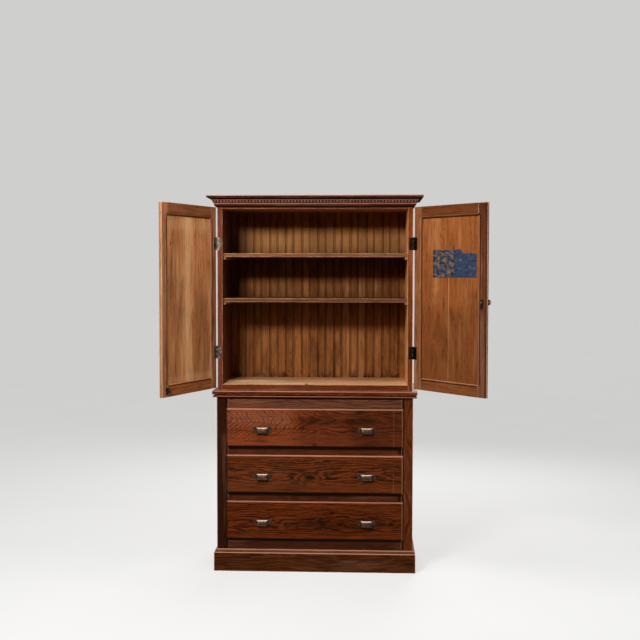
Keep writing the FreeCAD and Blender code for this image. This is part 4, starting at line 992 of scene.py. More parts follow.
def settle(thing: Piece, body: Body, slot: Slot, *nodes: str) -> None:
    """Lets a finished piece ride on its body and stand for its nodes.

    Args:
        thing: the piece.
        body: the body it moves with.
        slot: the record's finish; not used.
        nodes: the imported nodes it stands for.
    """
    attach(thing, body.value)
    if nodes:
        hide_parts(*nodes)
    LOG.info("%s rides on %s, %d faces", thing.name, body.value, len(thing.data.polygons))


def lay(name: str, bm: WorkMesh, finish: Finish, body: Body, *nodes: str) -> None:
    """Turns a closed working mesh into a piece with one finish.

    Args:
        name: the piece's name.
        bm: the working mesh.
        finish: the finish.
        body: the body it moves with.
        nodes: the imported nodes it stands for.
    """
    bmesh.ops.recalc_face_normals(bm, faces=bm.faces)
    thing = from_bmesh(name, bm)
    thing.data.materials.append(finish.material())
    settle(thing, body, finish.slot, *nodes)


def close_skins(bm: WorkMesh, outer: Sequence[Sequence[bmesh.types.BMVert]],
                inner: Sequence[Sequence[bmesh.types.BMVert]]) -> None:
    """Joins two grids of points into one closed, smooth sheet.

    Args:
        bm: the working mesh.
        outer: rows of points of the outer skin.
        inner: rows of points of the inner skin.
    """
    rows, columns = len(outer) - 1, len(outer[0]) - 1
    faces = []
    for row in range(rows):
        for column in range(columns):
            ring = [(row, column), (row, column + 1), (row + 1, column + 1), (row + 1, column)]
            faces.append(bm.faces.new([outer[r][c] for r, c in ring]))
            faces.append(bm.faces.new([inner[r][c] for r, c in reversed(ring)]))
    rim = [(0, c) for c in range(columns)] + [(r, columns) for r in range(rows)]
    rim += [(rows, c) for c in range(columns, 0, -1)] + [(r, 0) for r in range(rows, 0, -1)]
    for (row, column), (next_row, next_column) in zip(rim, rim[1:] + rim[:1]):
        faces.append(bm.faces.new([inner[row][column], inner[next_row][next_column],
                                   outer[next_row][next_column], outer[row][column]]))
    for face in faces:
        face.smooth = True


def shade_facets(bm: WorkMesh) -> None:
    """Smooths the narrow facets of rounds and leaves flats flat.

    Args:
        bm: the working mesh.
    """
    corner, flat, widest, tiny = math.radians(24), math.radians(0.3), 14 * MM, 1e-9
    for edge in bm.edges:
        edge.smooth = len(edge.link_faces) == 2 and edge.calc_face_angle(math.pi) < corner
    for face in bm.faces:
        bends = sum(1 for edge in face.edges if edge.smooth and edge.calc_face_angle(0.0) > flat)
        width = 2 * face.calc_area() / max(face.calc_perimeter(), tiny)
        face.smooth = bends > 0 and width < widest


def worked_copy(node: str, bevel: float) -> WorkMesh:
    """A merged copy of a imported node's mesh, with its long outer edges eased.

    Args:
        node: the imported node.
        bevel: width of the eased edges in metres, or 0 for none.

    Returns:
        The working mesh.
    """
    flat = math.radians(0.15)
    bm = bmesh.new()
    bm.from_mesh(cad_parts[node].data)
    bmesh.ops.remove_doubles(bm, verts=bm.verts, dist=MERGE_DISTANCE)
    buried = [face for face in bm.faces if all(len(edge.link_faces) > 2 for edge in face.edges)]
    bmesh.ops.delete(bm, geom=buried, context="FACES_ONLY")
    bmesh.ops.dissolve_limit(bm, angle_limit=flat, verts=bm.verts, edges=bm.edges)
    if bevel:
        ease_edges(bm, bevel)
    shade_facets(bm)
    return bm


def ease_edges(bm: WorkMesh, width: float) -> None:
    """Bevels the long convex edges whose neighbours leave room for it.

    Args:
        bm: the working mesh.
        width: bevel width in metres.
    """
    shortest, sharpest, room = 10 * width, math.radians(35), 2.4 * width
    chosen = []
    for edge in bm.edges:
        if len(edge.link_faces) != 2 or not edge.is_convex or edge.calc_length() < shortest:
            continue
        if edge.calc_face_angle(0.0) < sharpest:
            continue
        crowd = [other for vert in edge.verts for other in vert.link_edges if other is not edge]
        if all(len(other.link_faces) == 2 and other.calc_length() >= room for other in crowd):
            chosen.append(edge)
    if chosen:
        bmesh.ops.bevel(bm, geom=chosen, offset=width, offset_type="OFFSET", segments=2, profile=0.5,
                        affect="EDGES", clamp_overlap=True)


def islands(mesh: bpy.types.Mesh) -> list[list[int]]:
    """Groups a mesh's faces into the solids they belong to.

    Args:
        mesh: the mesh.

    Returns:
        Lists of face numbers.
    """
    by_edge: dict[int, list[int]] = {}
    for face in mesh.polygons:
        for loop in face.loop_indices:
            by_edge.setdefault(mesh.loops[loop].edge_index, []).append(face.index)
    beside: dict[int, list[int]] = {face.index: [] for face in mesh.polygons}
    for faces in by_edge.values():
        for face in faces:
            beside[face].extend(faces)
    left, groups = set(beside), []
    while left:
        start = min(left)
        left.discard(start)
        group, waiting = [start], [start]
        while waiting:
            for face in beside[waiting.pop()]:
                if face in left:
                    left.discard(face)
                    group.append(face)
                    waiting.append(face)
        groups.append(group)
    return groups


@dataclass
class Board:
    """One wooden node: its grain, its finish, and the finish of its other faces."""

    node: str
    body: Body
    finish: WoodFinish
    grain: Grain
    lining: Optional[WoodFinish] = None
    lined: Optional[FaceTest] = None
    edge: Optional[WoodFinish] = None
    own_frame: Matrix = field(default_factory=lambda: Matrix.Identity(4))
    bevel: float = 0.9 * MM
    runs: Optional[tuple[float, float]] = None
    heart: Optional[tuple[float, float, float]] = None

    def build(self) -> None:
        """Makes the dressed piece and lets it stand for its node."""
        thing = from_bmesh(self.node + ".wood", worked_copy(self.node, self.bevel))
        self.dress(thing)
        settle(thing, self.body, self.finish.slot, self.node)

    def groups(self, mesh: bpy.types.Mesh) -> list[tuple[list[int], Grain]]:
        """The board's solids or runs, each with the way of its grain.

        Args:
            mesh: the piece's mesh.

        Returns:
            Face numbers and grain of each.
        """
        if self.runs is None:
            return [(group, self.grain) for group in islands(mesh)]
        half_width, depth = self.runs
        front, right, left = [], [], []
        for face in mesh.polygons:
            x, y = face.center.x, face.center.y
            if -y - depth >= abs(x) - half_width:
                front.append(face.index)
            else:
                (right if x > 0 else left).append(face.index)
        found = [(front, Grain.SIDEWAYS), (right, Grain.BACKWARD), (left, Grain.BACKWARD)]
        return [(faces, grain) for faces, grain in found if faces]

    @staticmethod
    def new_heart(source: random.Random, half_across: float) -> tuple[float, float, float]:
        """Where the board was cut: its shift along the trunk, and the trunk's heart beside and behind it."""
        along, beside = source.uniform(0, 60), source.uniform(-0.6, 0.6) * half_across - 0.01
        return along, beside, source.uniform(0.08, 0.16)

    def finish_number(self, polygon: bpy.types.MeshPolygon) -> int:
        """Which of the piece's finishes a face has.

        Args:
            polygon: the face.

        Returns:
            0 for the finish, 1 for the lining, 2 for the front edge.
        """
        normal, middle = self.own_frame.to_3x3() @ polygon.normal, self.own_frame @ polygon.center
        if self.lined is not None and self.lined(normal, middle):
            return 1
        return 2 if self.edge is not None and polygon.normal.y < -FACING else 0

    def dress(self, thing: Piece) -> None:
        """Gives the piece its grain, tone and finishes.

        Args:
            thing: the piece.
        """
        mesh = thing.data
        mesh.materials.clear()
        for finish in (self.finish, self.lining, self.edge):
            if finish is not None:
                mesh.materials.append(finish.material())
        wide = {name: [0.0] * (3 * len(mesh.loops)) for name in ("grain", "half", "cut")}
        tones = [0.0] * len(mesh.loops)
        for number, (faces, grain) in enumerate(self.groups(mesh)):
            source = steady(f"{self.node}/{number}")
            spots = {corner: self.own_frame @ mesh.vertices[corner].co
                     for face in faces for corner in mesh.polygons[face].vertices}
            low, high = corners(list(spots.values()))
            middle, half = (low + high) / 2, (high - low) / 2
            others = sorted((axis for axis in range(3) if axis != grain.value), key=lambda axis: -half[axis])
            order = [grain.value] + others
            heart = self.heart or self.new_heart(source, half[order[1]])
            tone = source.uniform(-1, 1)
            for polygon in (mesh.polygons[face] for face in faces):
                polygon.material_index = self.finish_number(polygon)
                for loop in polygon.loop_indices:
                    spot = spots[mesh.loops[loop].vertex_index] - middle
                    three = slice(3 * loop, 3 * loop + 3)
                    wide["grain"][three] = [spot[axis] for axis in order]
                    wide["half"][three] = [half[axis] for axis in order]
                    wide["cut"][three] = heart
                    tones[loop] = tone
        for name, values in wide.items():
            mesh.attributes.new(name, "FLOAT_VECTOR", "CORNER").data.foreach_set("vector", values)
        mesh.attributes.new("tone", "FLOAT", "CORNER").data.foreach_set("value", tones)


class NodeTree(Nodes):
    """A Geometry Nodes tree with named inputs, run on an object and turned into a plain mesh."""

    def __init__(self, name: str, **inputs: str) -> None:
        """Starts a tree that is given geometry, a material and other named inputs.

        Args:
            name: the tree's name.
            inputs: each other input's name and kind of socket.
        """
        super().__init__(bpy.data.node_groups.new(name, "GeometryNodeTree"))
        self.sockets: dict[str, str] = {}
        face = self.tree.interface
        face.new_socket("Geometry", in_out="INPUT", socket_type="NodeSocketGeometry")
        for label, kind in {**inputs, "material": "Material"}.items():
            made = face.new_socket(label, in_out="INPUT", socket_type=f"NodeSocket{kind}")
            self.sockets[label] = made.identifier
        face.new_socket("Geometry", in_out="OUTPUT", socket_type="NodeSocketGeometry")
        self.given = self.node("NodeGroupInput")

    def close(self, geometry: Socket) -> None:
        """Ends the tree in real geometry with the material that it is given.

        Args:
            geometry: the finished geometry.
        """
        real = self.node("GeometryNodeRealizeInstances", {"Geometry": geometry})
        feeds = {"Geometry": real[0], "Material": self.given["material"]}
        self.fed("NodeGroupOutput", self.node("GeometryNodeSetMaterial", feeds)[0])

    def run(self, thing: Piece, finish: Finish, **values: object) -> None:
        """Runs the tree on an object and keeps the result as its plain mesh, with no modifier.

        Args:
            thing: the object that carries the starting mesh.
            finish: the finish whose material is set.
            values: the other inputs by name.
        """
        modifier = thing.modifiers.new(self.tree.name, "NODES")
        modifier.node_group = self.tree
        for label, value in {**values, "material": finish.material()}.items():
            modifier[self.sockets[label]] = value
        bpy.context.view_layer.update()
        evaluated = thing.evaluated_get(bpy.context.evaluated_depsgraph_get())
        mesh = bpy.data.meshes.new_from_object(evaluated)
        thing.modifiers.clear()
        thing.data = mesh
        mesh.name = thing.name


def bead_row_tree() -> NodeTree:
    """A row of turned beads along the edges of the starting mesh.

    Returns:
        The tree.
    """
    tree = NodeTree("bead_row", pitch="Float", bead_size="Vector")
    path = tree.node("GeometryNodeMeshToCurve", {"Mesh": tree.given["Geometry"]})
    steps = {"Curve": path[0], "Length": tree.given["pitch"]}
    spots = tree.node("GeometryNodeCurveToPoints", steps, mode="LENGTH")
    turned = tree.node("FunctionNodeAlignRotationToVector", {"Vector": spots["Tangent"]}, axis="X")
    bead = tree.node("GeometryNodeMeshUVSphere", {"Segments": 12, "Rings": 8, "Radius": 0.5})
    row = tree.node("GeometryNodeInstanceOnPoints", {
        "Points": spots["Points"], "Instance": bead["Mesh"], "Rotation": turned[0],
        "Scale": tree.given["bead_size"]})
    tree.close(tree.node("GeometryNodeSetShadeSmooth", {"Geometry": row[0]})[0])
    return tree


def screw_tree() -> NodeTree:
    """Slotted screw heads on the points of the starting mesh, each turned its own way.

    Returns:
        The tree.
    """
    crown_share, slot_share = 0.72, 3.0
    tree = NodeTree("slotted_screws", radius="Float", height="Float", slot_width="Float", seed="Int")
    radius, height = tree.given["radius"], tree.given["height"]
    head = tree.node("GeometryNodeMeshCone", {
        "Vertices": 20, "Side Segments": 1, "Fill Segments": 1,
        "Radius Top": tree.math("MULTIPLY", radius, crown_share),
        "Radius Bottom": radius, "Depth": height})
    size = tree.vector(tree.math("MULTIPLY", radius, slot_share), tree.given["slot_width"], height)
    bar = tree.node("GeometryNodeMeshCube", {"Size": size})
    lift = tree.vector(0.0, 0.0, height)
    raised = tree.node("GeometryNodeTransform", {"Geometry": bar[0], "Translation": lift})
    slotted = tree.node("GeometryNodeMeshBoolean", {0: head[0], 1: raised[0]}, operation="DIFFERENCE")
    facing = tree.node("GeometryNodeInputNamedAttribute", {"Name": "facing"}, data_type="FLOAT_VECTOR")
    upright = tree.node("FunctionNodeAlignRotationToVector", {"Vector": facing[0]}, axis="Z")
    limits = {2: 0.0, 3: math.pi, "Seed": tree.given["seed"]}
    spin = tree.node("FunctionNodeRandomValue", limits, data_type="FLOAT")
    turn = tree.fed("FunctionNodeEulerToRotation", tree.vector(0.0, 0.0, spin[1]))
    rotation = tree.node("FunctionNodeRotateRotation", {0: upright[0], 1: turn[0]}, rotation_space="LOCAL")
    spots = tree.node("GeometryNodeMeshToPoints", {"Mesh": tree.given["Geometry"]})
    heads = tree.node("GeometryNodeInstanceOnPoints", {
        "Points": spots[0], "Instance": slotted[0], "Rotation": rotation[0]})
    tree.close(heads[0])
    return tree


def board_row_tree() -> NodeTree:
    """A row of boards, each one the starting outline raised to a height.

    Returns:
        The tree.
    """
    tree = NodeTree("board_row", boards="Int", pitch="Float", height="Float")
    line = tree.node("GeometryNodeMeshLine", {
        "Count": tree.given["boards"], "Offset": tree.vector(tree.given["pitch"])})
    row = tree.node("GeometryNodeInstanceOnPoints", {"Points": line[0], "Instance": tree.given["Geometry"]})
    real = tree.node("GeometryNodeRealizeInstances", {"Geometry": row[0]})
    raised = tree.node("GeometryNodeExtrudeMesh", {
        "Mesh": real[0], "Offset": tree.vector(0.0, 0.0, tree.given["height"]), "Offset Scale": 1.0,
        "Individual": False})
    foot = tree.node("GeometryNodeFlipFaces", {"Mesh": real[0]})
    both = tree.fed("GeometryNodeJoinGeometry", raised[0])
    tree.feed(both[0].node.inputs[0], foot[0])
    sealed = tree.node("GeometryNodeMergeByDistance", {"Geometry": both[0], "Distance": MERGE_DISTANCE})
    tree.close(sealed[0])
    return tree


BEAD_ROW_TREE = bead_row_tree()
SCREW_TREE = screw_tree()
BOARD_ROW_TREE = board_row_tree()


@dataclass
class Screws:
    """Slotted screw heads of the hinges and pulls."""

    height: float = 0.8 * MM
    radius: float = 3.1 * MM
    slot_width: float = 0.9 * MM

    def build(self, name: str, body: Body, finish: MetalFinish, spots: Sequence[Vector],
              facing: Vector) -> None:
        """Sets heads on the given places.

        Args:
            name: the piece's name.
            body: the body they move with.
            finish: their metal.
            spots: place of each head's middle.
            facing: the way they face.
        """
        thing = from_points(name, [tuple(spot) for spot in spots])
        ways = thing.data.attributes.new("facing", "FLOAT_VECTOR", "POINT")
        for way in ways.data:
            way.vector = facing
        SCREW_TREE.run(thing, finish, radius=self.radius, height=self.height, slot_width=self.slot_width,
                       seed=zlib.crc32(name.encode()) % SEEDS)
        settle(thing, body, finish.slot)


def dress_metal(node: str, body: Body, finish: MetalFinish, bevel: float = 0.3 * MM,
                right: Optional[MetalFinish] = None) -> None:
    """Eases a metal node's edges and gives it its finish.

    Args:
        node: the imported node.
        body: the body it moves with.
        finish: its metal.
        bevel: width of the eased edges in metres.
        right: metal of what stands right of the middle, where that differs.
    """
    thing = from_bmesh(node + ".metal", worked_copy(node, bevel))
    thing.data.materials.clear()
    thing.data.materials.append(finish.material())
    if right is not None:
        thing.data.materials.append(right.material())
        for face in thing.data.polygons:
            face.material_index = 1 if face.center.x > 0 else 0
    settle(thing, body, finish.slot, node)


def inward(normal: Vector, _: Vector) -> bool:
    """Whether a face of a board looks to the back."""
    return normal.y > FACING


def level(normal: Vector, _: Vector) -> bool:
    """Whether a face looks straight up or down."""
    return abs(normal.z) > LEVEL


def not_front(normal: Vector, _: Vector) -> bool:
    """Whether a face looks anywhere but to the front."""
    return normal.y > -FACING


def sideways(way: int) -> FaceTest:
    """The test whether a face looks to one side: 1 for right, -1 for left."""
    return lambda normal, _: normal.x * way > FACING


@dataclass
class DrawerCase:
    """The lower case: sides, stiles, rails, plinth, and the runners behind them."""

    half_width: float = 500 * MM
    depth: float = 400 * MM

    def build(self) -> None:
        """Dresses every board of the lower case."""
        case = Body.CASE
        for word, inside, stile in (("left", 1, LEFT_STILE_STAIN), ("right", -1, RIGHT_STILE_STAIN)):
            Board(f"base_side_{word}", case, CASE_STAIN, Grain.UPRIGHT, RAW_WOOD, sideways(inside)).build()
            Board(f"base_stile_{word}", case, stile, Grain.UPRIGHT, RAW_WOOD, inward).build()
        for node, finish in (("base_bottom_rail", SILL_STAIN), ("base_drawer_rails", RAIL_STAIN),
                             ("base_top_rail", TOP_RAIL_STAIN)):
            Board(node, case, finish, Grain.SIDEWAYS, RAW_WOOD, inward).build()
        for node, grain in (("base_bottom_board", Grain.SIDEWAYS), ("base_back_boards", Grain.UPRIGHT),
                            ("plinth_back_rail", Grain.SIDEWAYS), ("drawer_runners", Grain.BACKWARD),
                            ("drawer_guides", Grain.BACKWARD)):
            Board(node, case, RAW_WOOD, grain).build()
        Board("plinth_boards", case, PLINTH_STAIN, Grain.SIDEWAYS, runs=(self.half_width, self.depth)).build()


@dataclass
class Waist:
    """The moulded board between the two cases."""

    half_width: float = 500 * MM
    depth: float = 400 * MM

    def build(self) -> None:
        """Dresses the waist board and its moulding."""
        Board("waist_board", Body.CASE, WAIST_STAIN, Grain.SIDEWAYS, CASE_STAIN, level, bevel=0.0).build()
        Board("waist_moulding", Body.CASE, NOSE_STAIN, Grain.SIDEWAYS, bevel=0.0,
              runs=(self.half_width, self.depth)).build()


@dataclass
class BackBoards:
    """Beaded boards behind the shelves, made as one repeated outline."""

    boards: int = 11
    gap: float = 0.02 * MM
    thick: float = 12 * MM
    bead: float = 6.5 * MM
    bead_steps: int = 6
    quirk: float = 2.6 * MM
    quirk_depth: float = 3.2 * MM
    # Heights, strength and reach of the painted shadow under the shelves.
    undersides: tuple[float, ...] = (1609 * MM, 1379 * MM)
    soot: float = 0.5
    soot_reach: float = 140 * MM
    # Strength, height and reach of the painted light above the upper shelf.
    faded: float = 0.3
    faded_level: float = 1705 * MM
    faded_reach: float = 105 * MM

    def outline(self, pitch: float) -> list[tuple[float, float]]:
        """Outline of one board seen from above: face, middle bead and edge bead.

        Args:
            pitch: width that one board takes.

        Returns:
            Points across and back, anticlockwise from the back.
        """
        start, stop = self.gap / 2, pitch - self.gap / 2
        face, floor = -self.thick, self.quirk_depth - self.thick
        points = [(stop, 0.0), (start, 0.0), (start, floor), (start + self.quirk / 2, face)]
        middle = pitch / 2 - self.bead / 2
        for foot, closed in ((middle, True), (stop - self.bead, False)):
            points += [(foot - self.quirk, face), (foot, floor)]
            for step in range(1, self.bead_steps + (1 if closed else 0)):
                angle = math.pi * step / self.bead_steps
                across = foot + self.bead / 2 - math.cos(angle) * self.bead / 2
                points.append((across, floor - math.sin(angle) * self.quirk_depth))
            if closed:
                points.append((foot + self.bead + self.quirk, face))
        points.append((stop, floor))
        return list(reversed(points))

    def aged_finish(self, middle: float) -> WoodFinish:
        """The boards' finish, with painted shadow below each shelf and painted light above the upper one.

        Args:
            middle: height of the boards' middle.

        Returns:
            The finish.
        """
        # Painted shadow under each shelf.
        bands = [Band(level - middle, self.soot_reach, -self.soot, softness=1.0, way=Way.ALONG)
                 for level in self.undersides]
        # Painted light above the upper shelf.
        faded = Band(self.faded_level - middle, self.faded_reach, self.faded, softness=0.8, way=Way.ALONG)
        return replace(BACK_WOOD, bands=(*bands, faded))

    def build(self) -> None:
        """Makes the boards and lets them stand for their node."""
        node = "upper_back_boards"
        low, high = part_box(node)
        finish = self.aged_finish((low.z + high.z) / 2)
        pitch = (high.x - low.x) / self.boards
        points = [(low.x + x, high.y + y, low.z) for x, y in self.outline(pitch)]
        thing = from_points(node + ".wood", points, faces=[list(range(len(points)))])
        if thing.data.polygons[0].normal.z < 0:
            thing.data.flip_normals()
        BOARD_ROW_TREE.run(thing, finish, boards=self.boards, pitch=pitch, height=high.z - low.z)
        Board(node, Body.CASE, finish, Grain.UPRIGHT, RAW_WOOD, inward).dress(thing)
        settle(thing, Body.CASE, finish.slot, node)


@dataclass
class ShelfCase:
    """The upper case: sides, floor, top, frieze, shelves and back."""

    back: BackBoards = field(default_factory=BackBoards)

    def build(self) -> None:
        """Dresses every board of the upper case."""
        case = Body.CASE
        for word, inside, edge, wall in (("left", 1, LEFT_EDGE_STAIN, SHADED_LEFT_WALL_WOOD),
                                         ("right", -1, RIGHT_EDGE_STAIN, LIT_RIGHT_WALL_WOOD)):
            Board(f"upper_side_{word}", case, CASE_STAIN, Grain.UPRIGHT, wall, sideways(inside), edge).build()
        for node, finish, lining, lined in (
                ("upper_floor", FLOOR_EDGE_STAIN, FLOOR_WOOD, not_front),
                ("upper_top", CASE_STAIN, CEILING_WOOD, not_front),
                ("frieze_rail", CROWN_STAIN, RAW_WOOD, inward),
                ("upper_shelf", UPPER_SHELF_WOOD, None, None), ("lower_shelf", LOWER_SHELF_WOOD, None, None)):
            Board(node, case, finish, Grain.SIDEWAYS, lining, lined).build()
        Board("shelf_cleats", case, CLEAT_WOOD, Grain.BACKWARD).build()
        self.back.build()


@dataclass
class Cornice:
    """The moulded crown with its row of beads."""

    half_width: float = 496 * MM
    depth: float = 395 * MM
    back: float = -2 * MM
    bed: float = 17 * MM
    bead_pitch: float = 16.3 * MM
    bead_size: tuple[float, float, float] = (11.0 * MM, 11.0 * MM, 10.0 * MM)
    fillet_thick: float = 2.6 * MM
    fillet_sunk: float = 0.5 * MM

    def runs(self, reach: float) -> list[tuple[Vector, Vector]]:
        """The three straight runs round the crown at a reach from the case.

        Args:
            reach: metres out from the case.

        Returns:
            Start and end of the left, front and right runs.
        """
        side, front = self.half_width + reach, -self.depth - reach
        height = sum((corner.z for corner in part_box("cornice_bead_strip")), 0.0) / 2
        turns = [Vector((x, y, height)) for x, y in ((-side, self.back), (-side, front), (side, front),
                                                     (side, self.back))]
        return list(zip(turns, turns[1:]))

    def bead_row(self) -> None:
        """Lays the beads, which stand for the plain strip, in a paler copy of the crown's finish as painted
        highlight, and the fillet behind them, dark as painted shade.
        """
        node = "cornice_bead_strip"
        low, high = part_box(node)
        points, edges = [], []
        for start, stop in self.runs(high.x - self.half_width - self.bead_size[1] / 2):
            run = (stop - start).normalized() * self.bead_pitch / 2
            edges.append((len(points), len(points) + 1))
            points += [tuple(start + run), tuple(stop - run)]
        thing = from_points("cornice_beads", points, edges)
        BEAD_ROW_TREE.run(thing, LIT_BEAD_STAIN, pitch=self.bead_pitch, bead_size=self.bead_size)
        Board(node, Body.CASE, LIT_BEAD_STAIN, Grain.SIDEWAYS).dress(thing)
        settle(thing, Body.CASE, LIT_BEAD_STAIN.slot, node)

        bm = bmesh.new()
        for start, stop in self.runs(self.bed):
            self.fillet(bm, start, stop, high.z - low.z)
        backing = from_bmesh("cornice_bead_fillet", bm)
        runs = (self.half_width, self.depth)
        Board(node, Body.CASE, SHADED_FILLET_STAIN, Grain.SIDEWAYS, runs=runs).dress(backing)
        settle(backing, Body.CASE, SHADED_FILLET_STAIN.slot)

    def fillet(self, bm: WorkMesh, start: Vector, stop: Vector, height: float) -> None:
        """A thin strip behind the beads along one run, mitred at the front corners.

        Args:
            bm: the working mesh.
            start: one end on the bed.
            stop: the other end.
            height: the strip's height.
        """
        along = (stop - start).normalized()
        out = Vector((along.y, -along.x, 0.0))
        for vert in bmesh.ops.create_cube(bm, size=1.0)["verts"]:
            share = vert.co.copy()
            end, way = (start, -1) if share.x < 0 else (stop, 1)
            at_corner = abs(end.y + self.depth + self.bed) < MM
            mitre = self.fillet_thick * way if at_corner and share.y > 0 else 0.0
            spot = end + along * mitre + out * (self.fillet_thick if share.y > 0 else -self.fillet_sunk)
            vert.co = spot + Vector((0.0, 0.0, share.z * height))
        bmesh.ops.recalc_face_normals(bm, faces=bm.faces)

    def build(self) -> None:
        """Dresses the crown and lays its beads."""
        Board("cornice_moulding", Body.CASE, CROWN_STAIN, Grain.SIDEWAYS, bevel=0.0,
              runs=(self.half_width, self.depth)).build()
        Board("cornice_top", Body.CASE, SLAB_STAIN, Grain.SIDEWAYS, TOP_STAIN, level, bevel=0.0).build()
        self.bead_row()


@dataclass(frozen=True)
class Tear:
    """A torn edge that wanders in small random steps between two limits."""

    step: float
    low: float
    high: float

    def after(self, height: float, source: random.Random) -> float:
        """The height of the edge's next point."""
        return max(self.low, min(self.high, height + source.uniform(-1, 1) * self.step))


@dataclass
class Label:
    """A bare, faded paper label with a torn upper edge."""

    u: tuple[float, float] = (135 * MM, 437 * MM)
    z: tuple[float, float] = (1507 * MM, 1643 * MM)
    torn_share: float = 0.36
    torn_drop: float = 19 * MM
    torn_slope: float = 0.05
    top_tear: Tear = Tear(1.3 * MM, -4 * MM, 1.5 * MM)
    foot_tear: Tear = Tear(0.5 * MM, -1 * MM, 1.5 * MM)
    thick: float = 0.3 * MM
    lift: float = 0.35 * MM
    buckle: float = 0.25 * MM
    curl: float = 12 * MM
    curl_from: float = 0.9
    curl_turns: float = 9.0
    buckle_turns: tuple[tuple[float, float], ...] = ((61.0, 23.0), (-17.0, 97.0))
    columns: int = 72
    rows: int = 30

    def edges(self) -> list[tuple[float, float]]:
        """Heights of the foot and of the torn upper edge.

        Returns:
            The two heights at each column.
        """
        source = steady("label")
        top, foot, found = 0.0, 0.0, []
        for column in range(self.columns + 1):
            torn = max(0.0, min(1.0, (column / self.columns - 1 + self.torn_share) / self.torn_slope))
            found.append((self.z[0] + foot, self.z[1] - self.torn_drop * torn + top))
            top = self.top_tear.after(top, source)
            foot = self.foot_tear.after(foot, source)
        return found

    def off_panel(self, u: float, z: float, share: float, height: float) -> float:
        """How far the paper stands off the panel where it buckles and curls.

        Args:
            u: metres from the door's pin.
            z: height in metres.
            share: place across, from 0 to 1.
            height: place up, from 0 to 1.

        Returns:
            The distance in metres.
        """
        waves = math.prod(math.sin(u * across + z * up) for across, up in self.buckle_turns)
        curl = self.curl * max(0.0, height - self.curl_from) * max(0.0, math.sin(share * self.curl_turns))
        return self.lift + self.buckle * waves + curl

    def build(self, door: "Door", face: float) -> None:
        """Lays the label on the inner face of a door's panel.

        Args:
            door: the door that carries it.
            face: the panel's inner face in the door's own frame.
        """
        out_of_door = door.own_frame.inverted()
        bm = bmesh.new()
        sheet = bm.verts.layers.float_vector.new("sheet")
        edges = self.edges()
        skins = []
        for skin in (self.thick, 0.0):
            grid = [[] for _ in range(self.rows + 1)]
            for row, line in enumerate(grid):
                for column, (low, high) in enumerate(edges):
                    share, height = column / self.columns, row / self.rows
                    u = self.u[0] + (self.u[1] - self.u[0]) * share
                    z = low + (high - low) * height
                    y = face + skin + self.off_panel(u, z, share, height)
                    vert = bm.verts.new(out_of_door @ Vector((u * door.side.value, y, z)))
                    vert[sheet] = (u - self.u[0], z - self.z[0], 0.0)
                    line.append(vert)
            skins.append(grid)
        close_skins(bm, *skins)
        lay("door_label", bm, LABEL_PAPER, door.body)


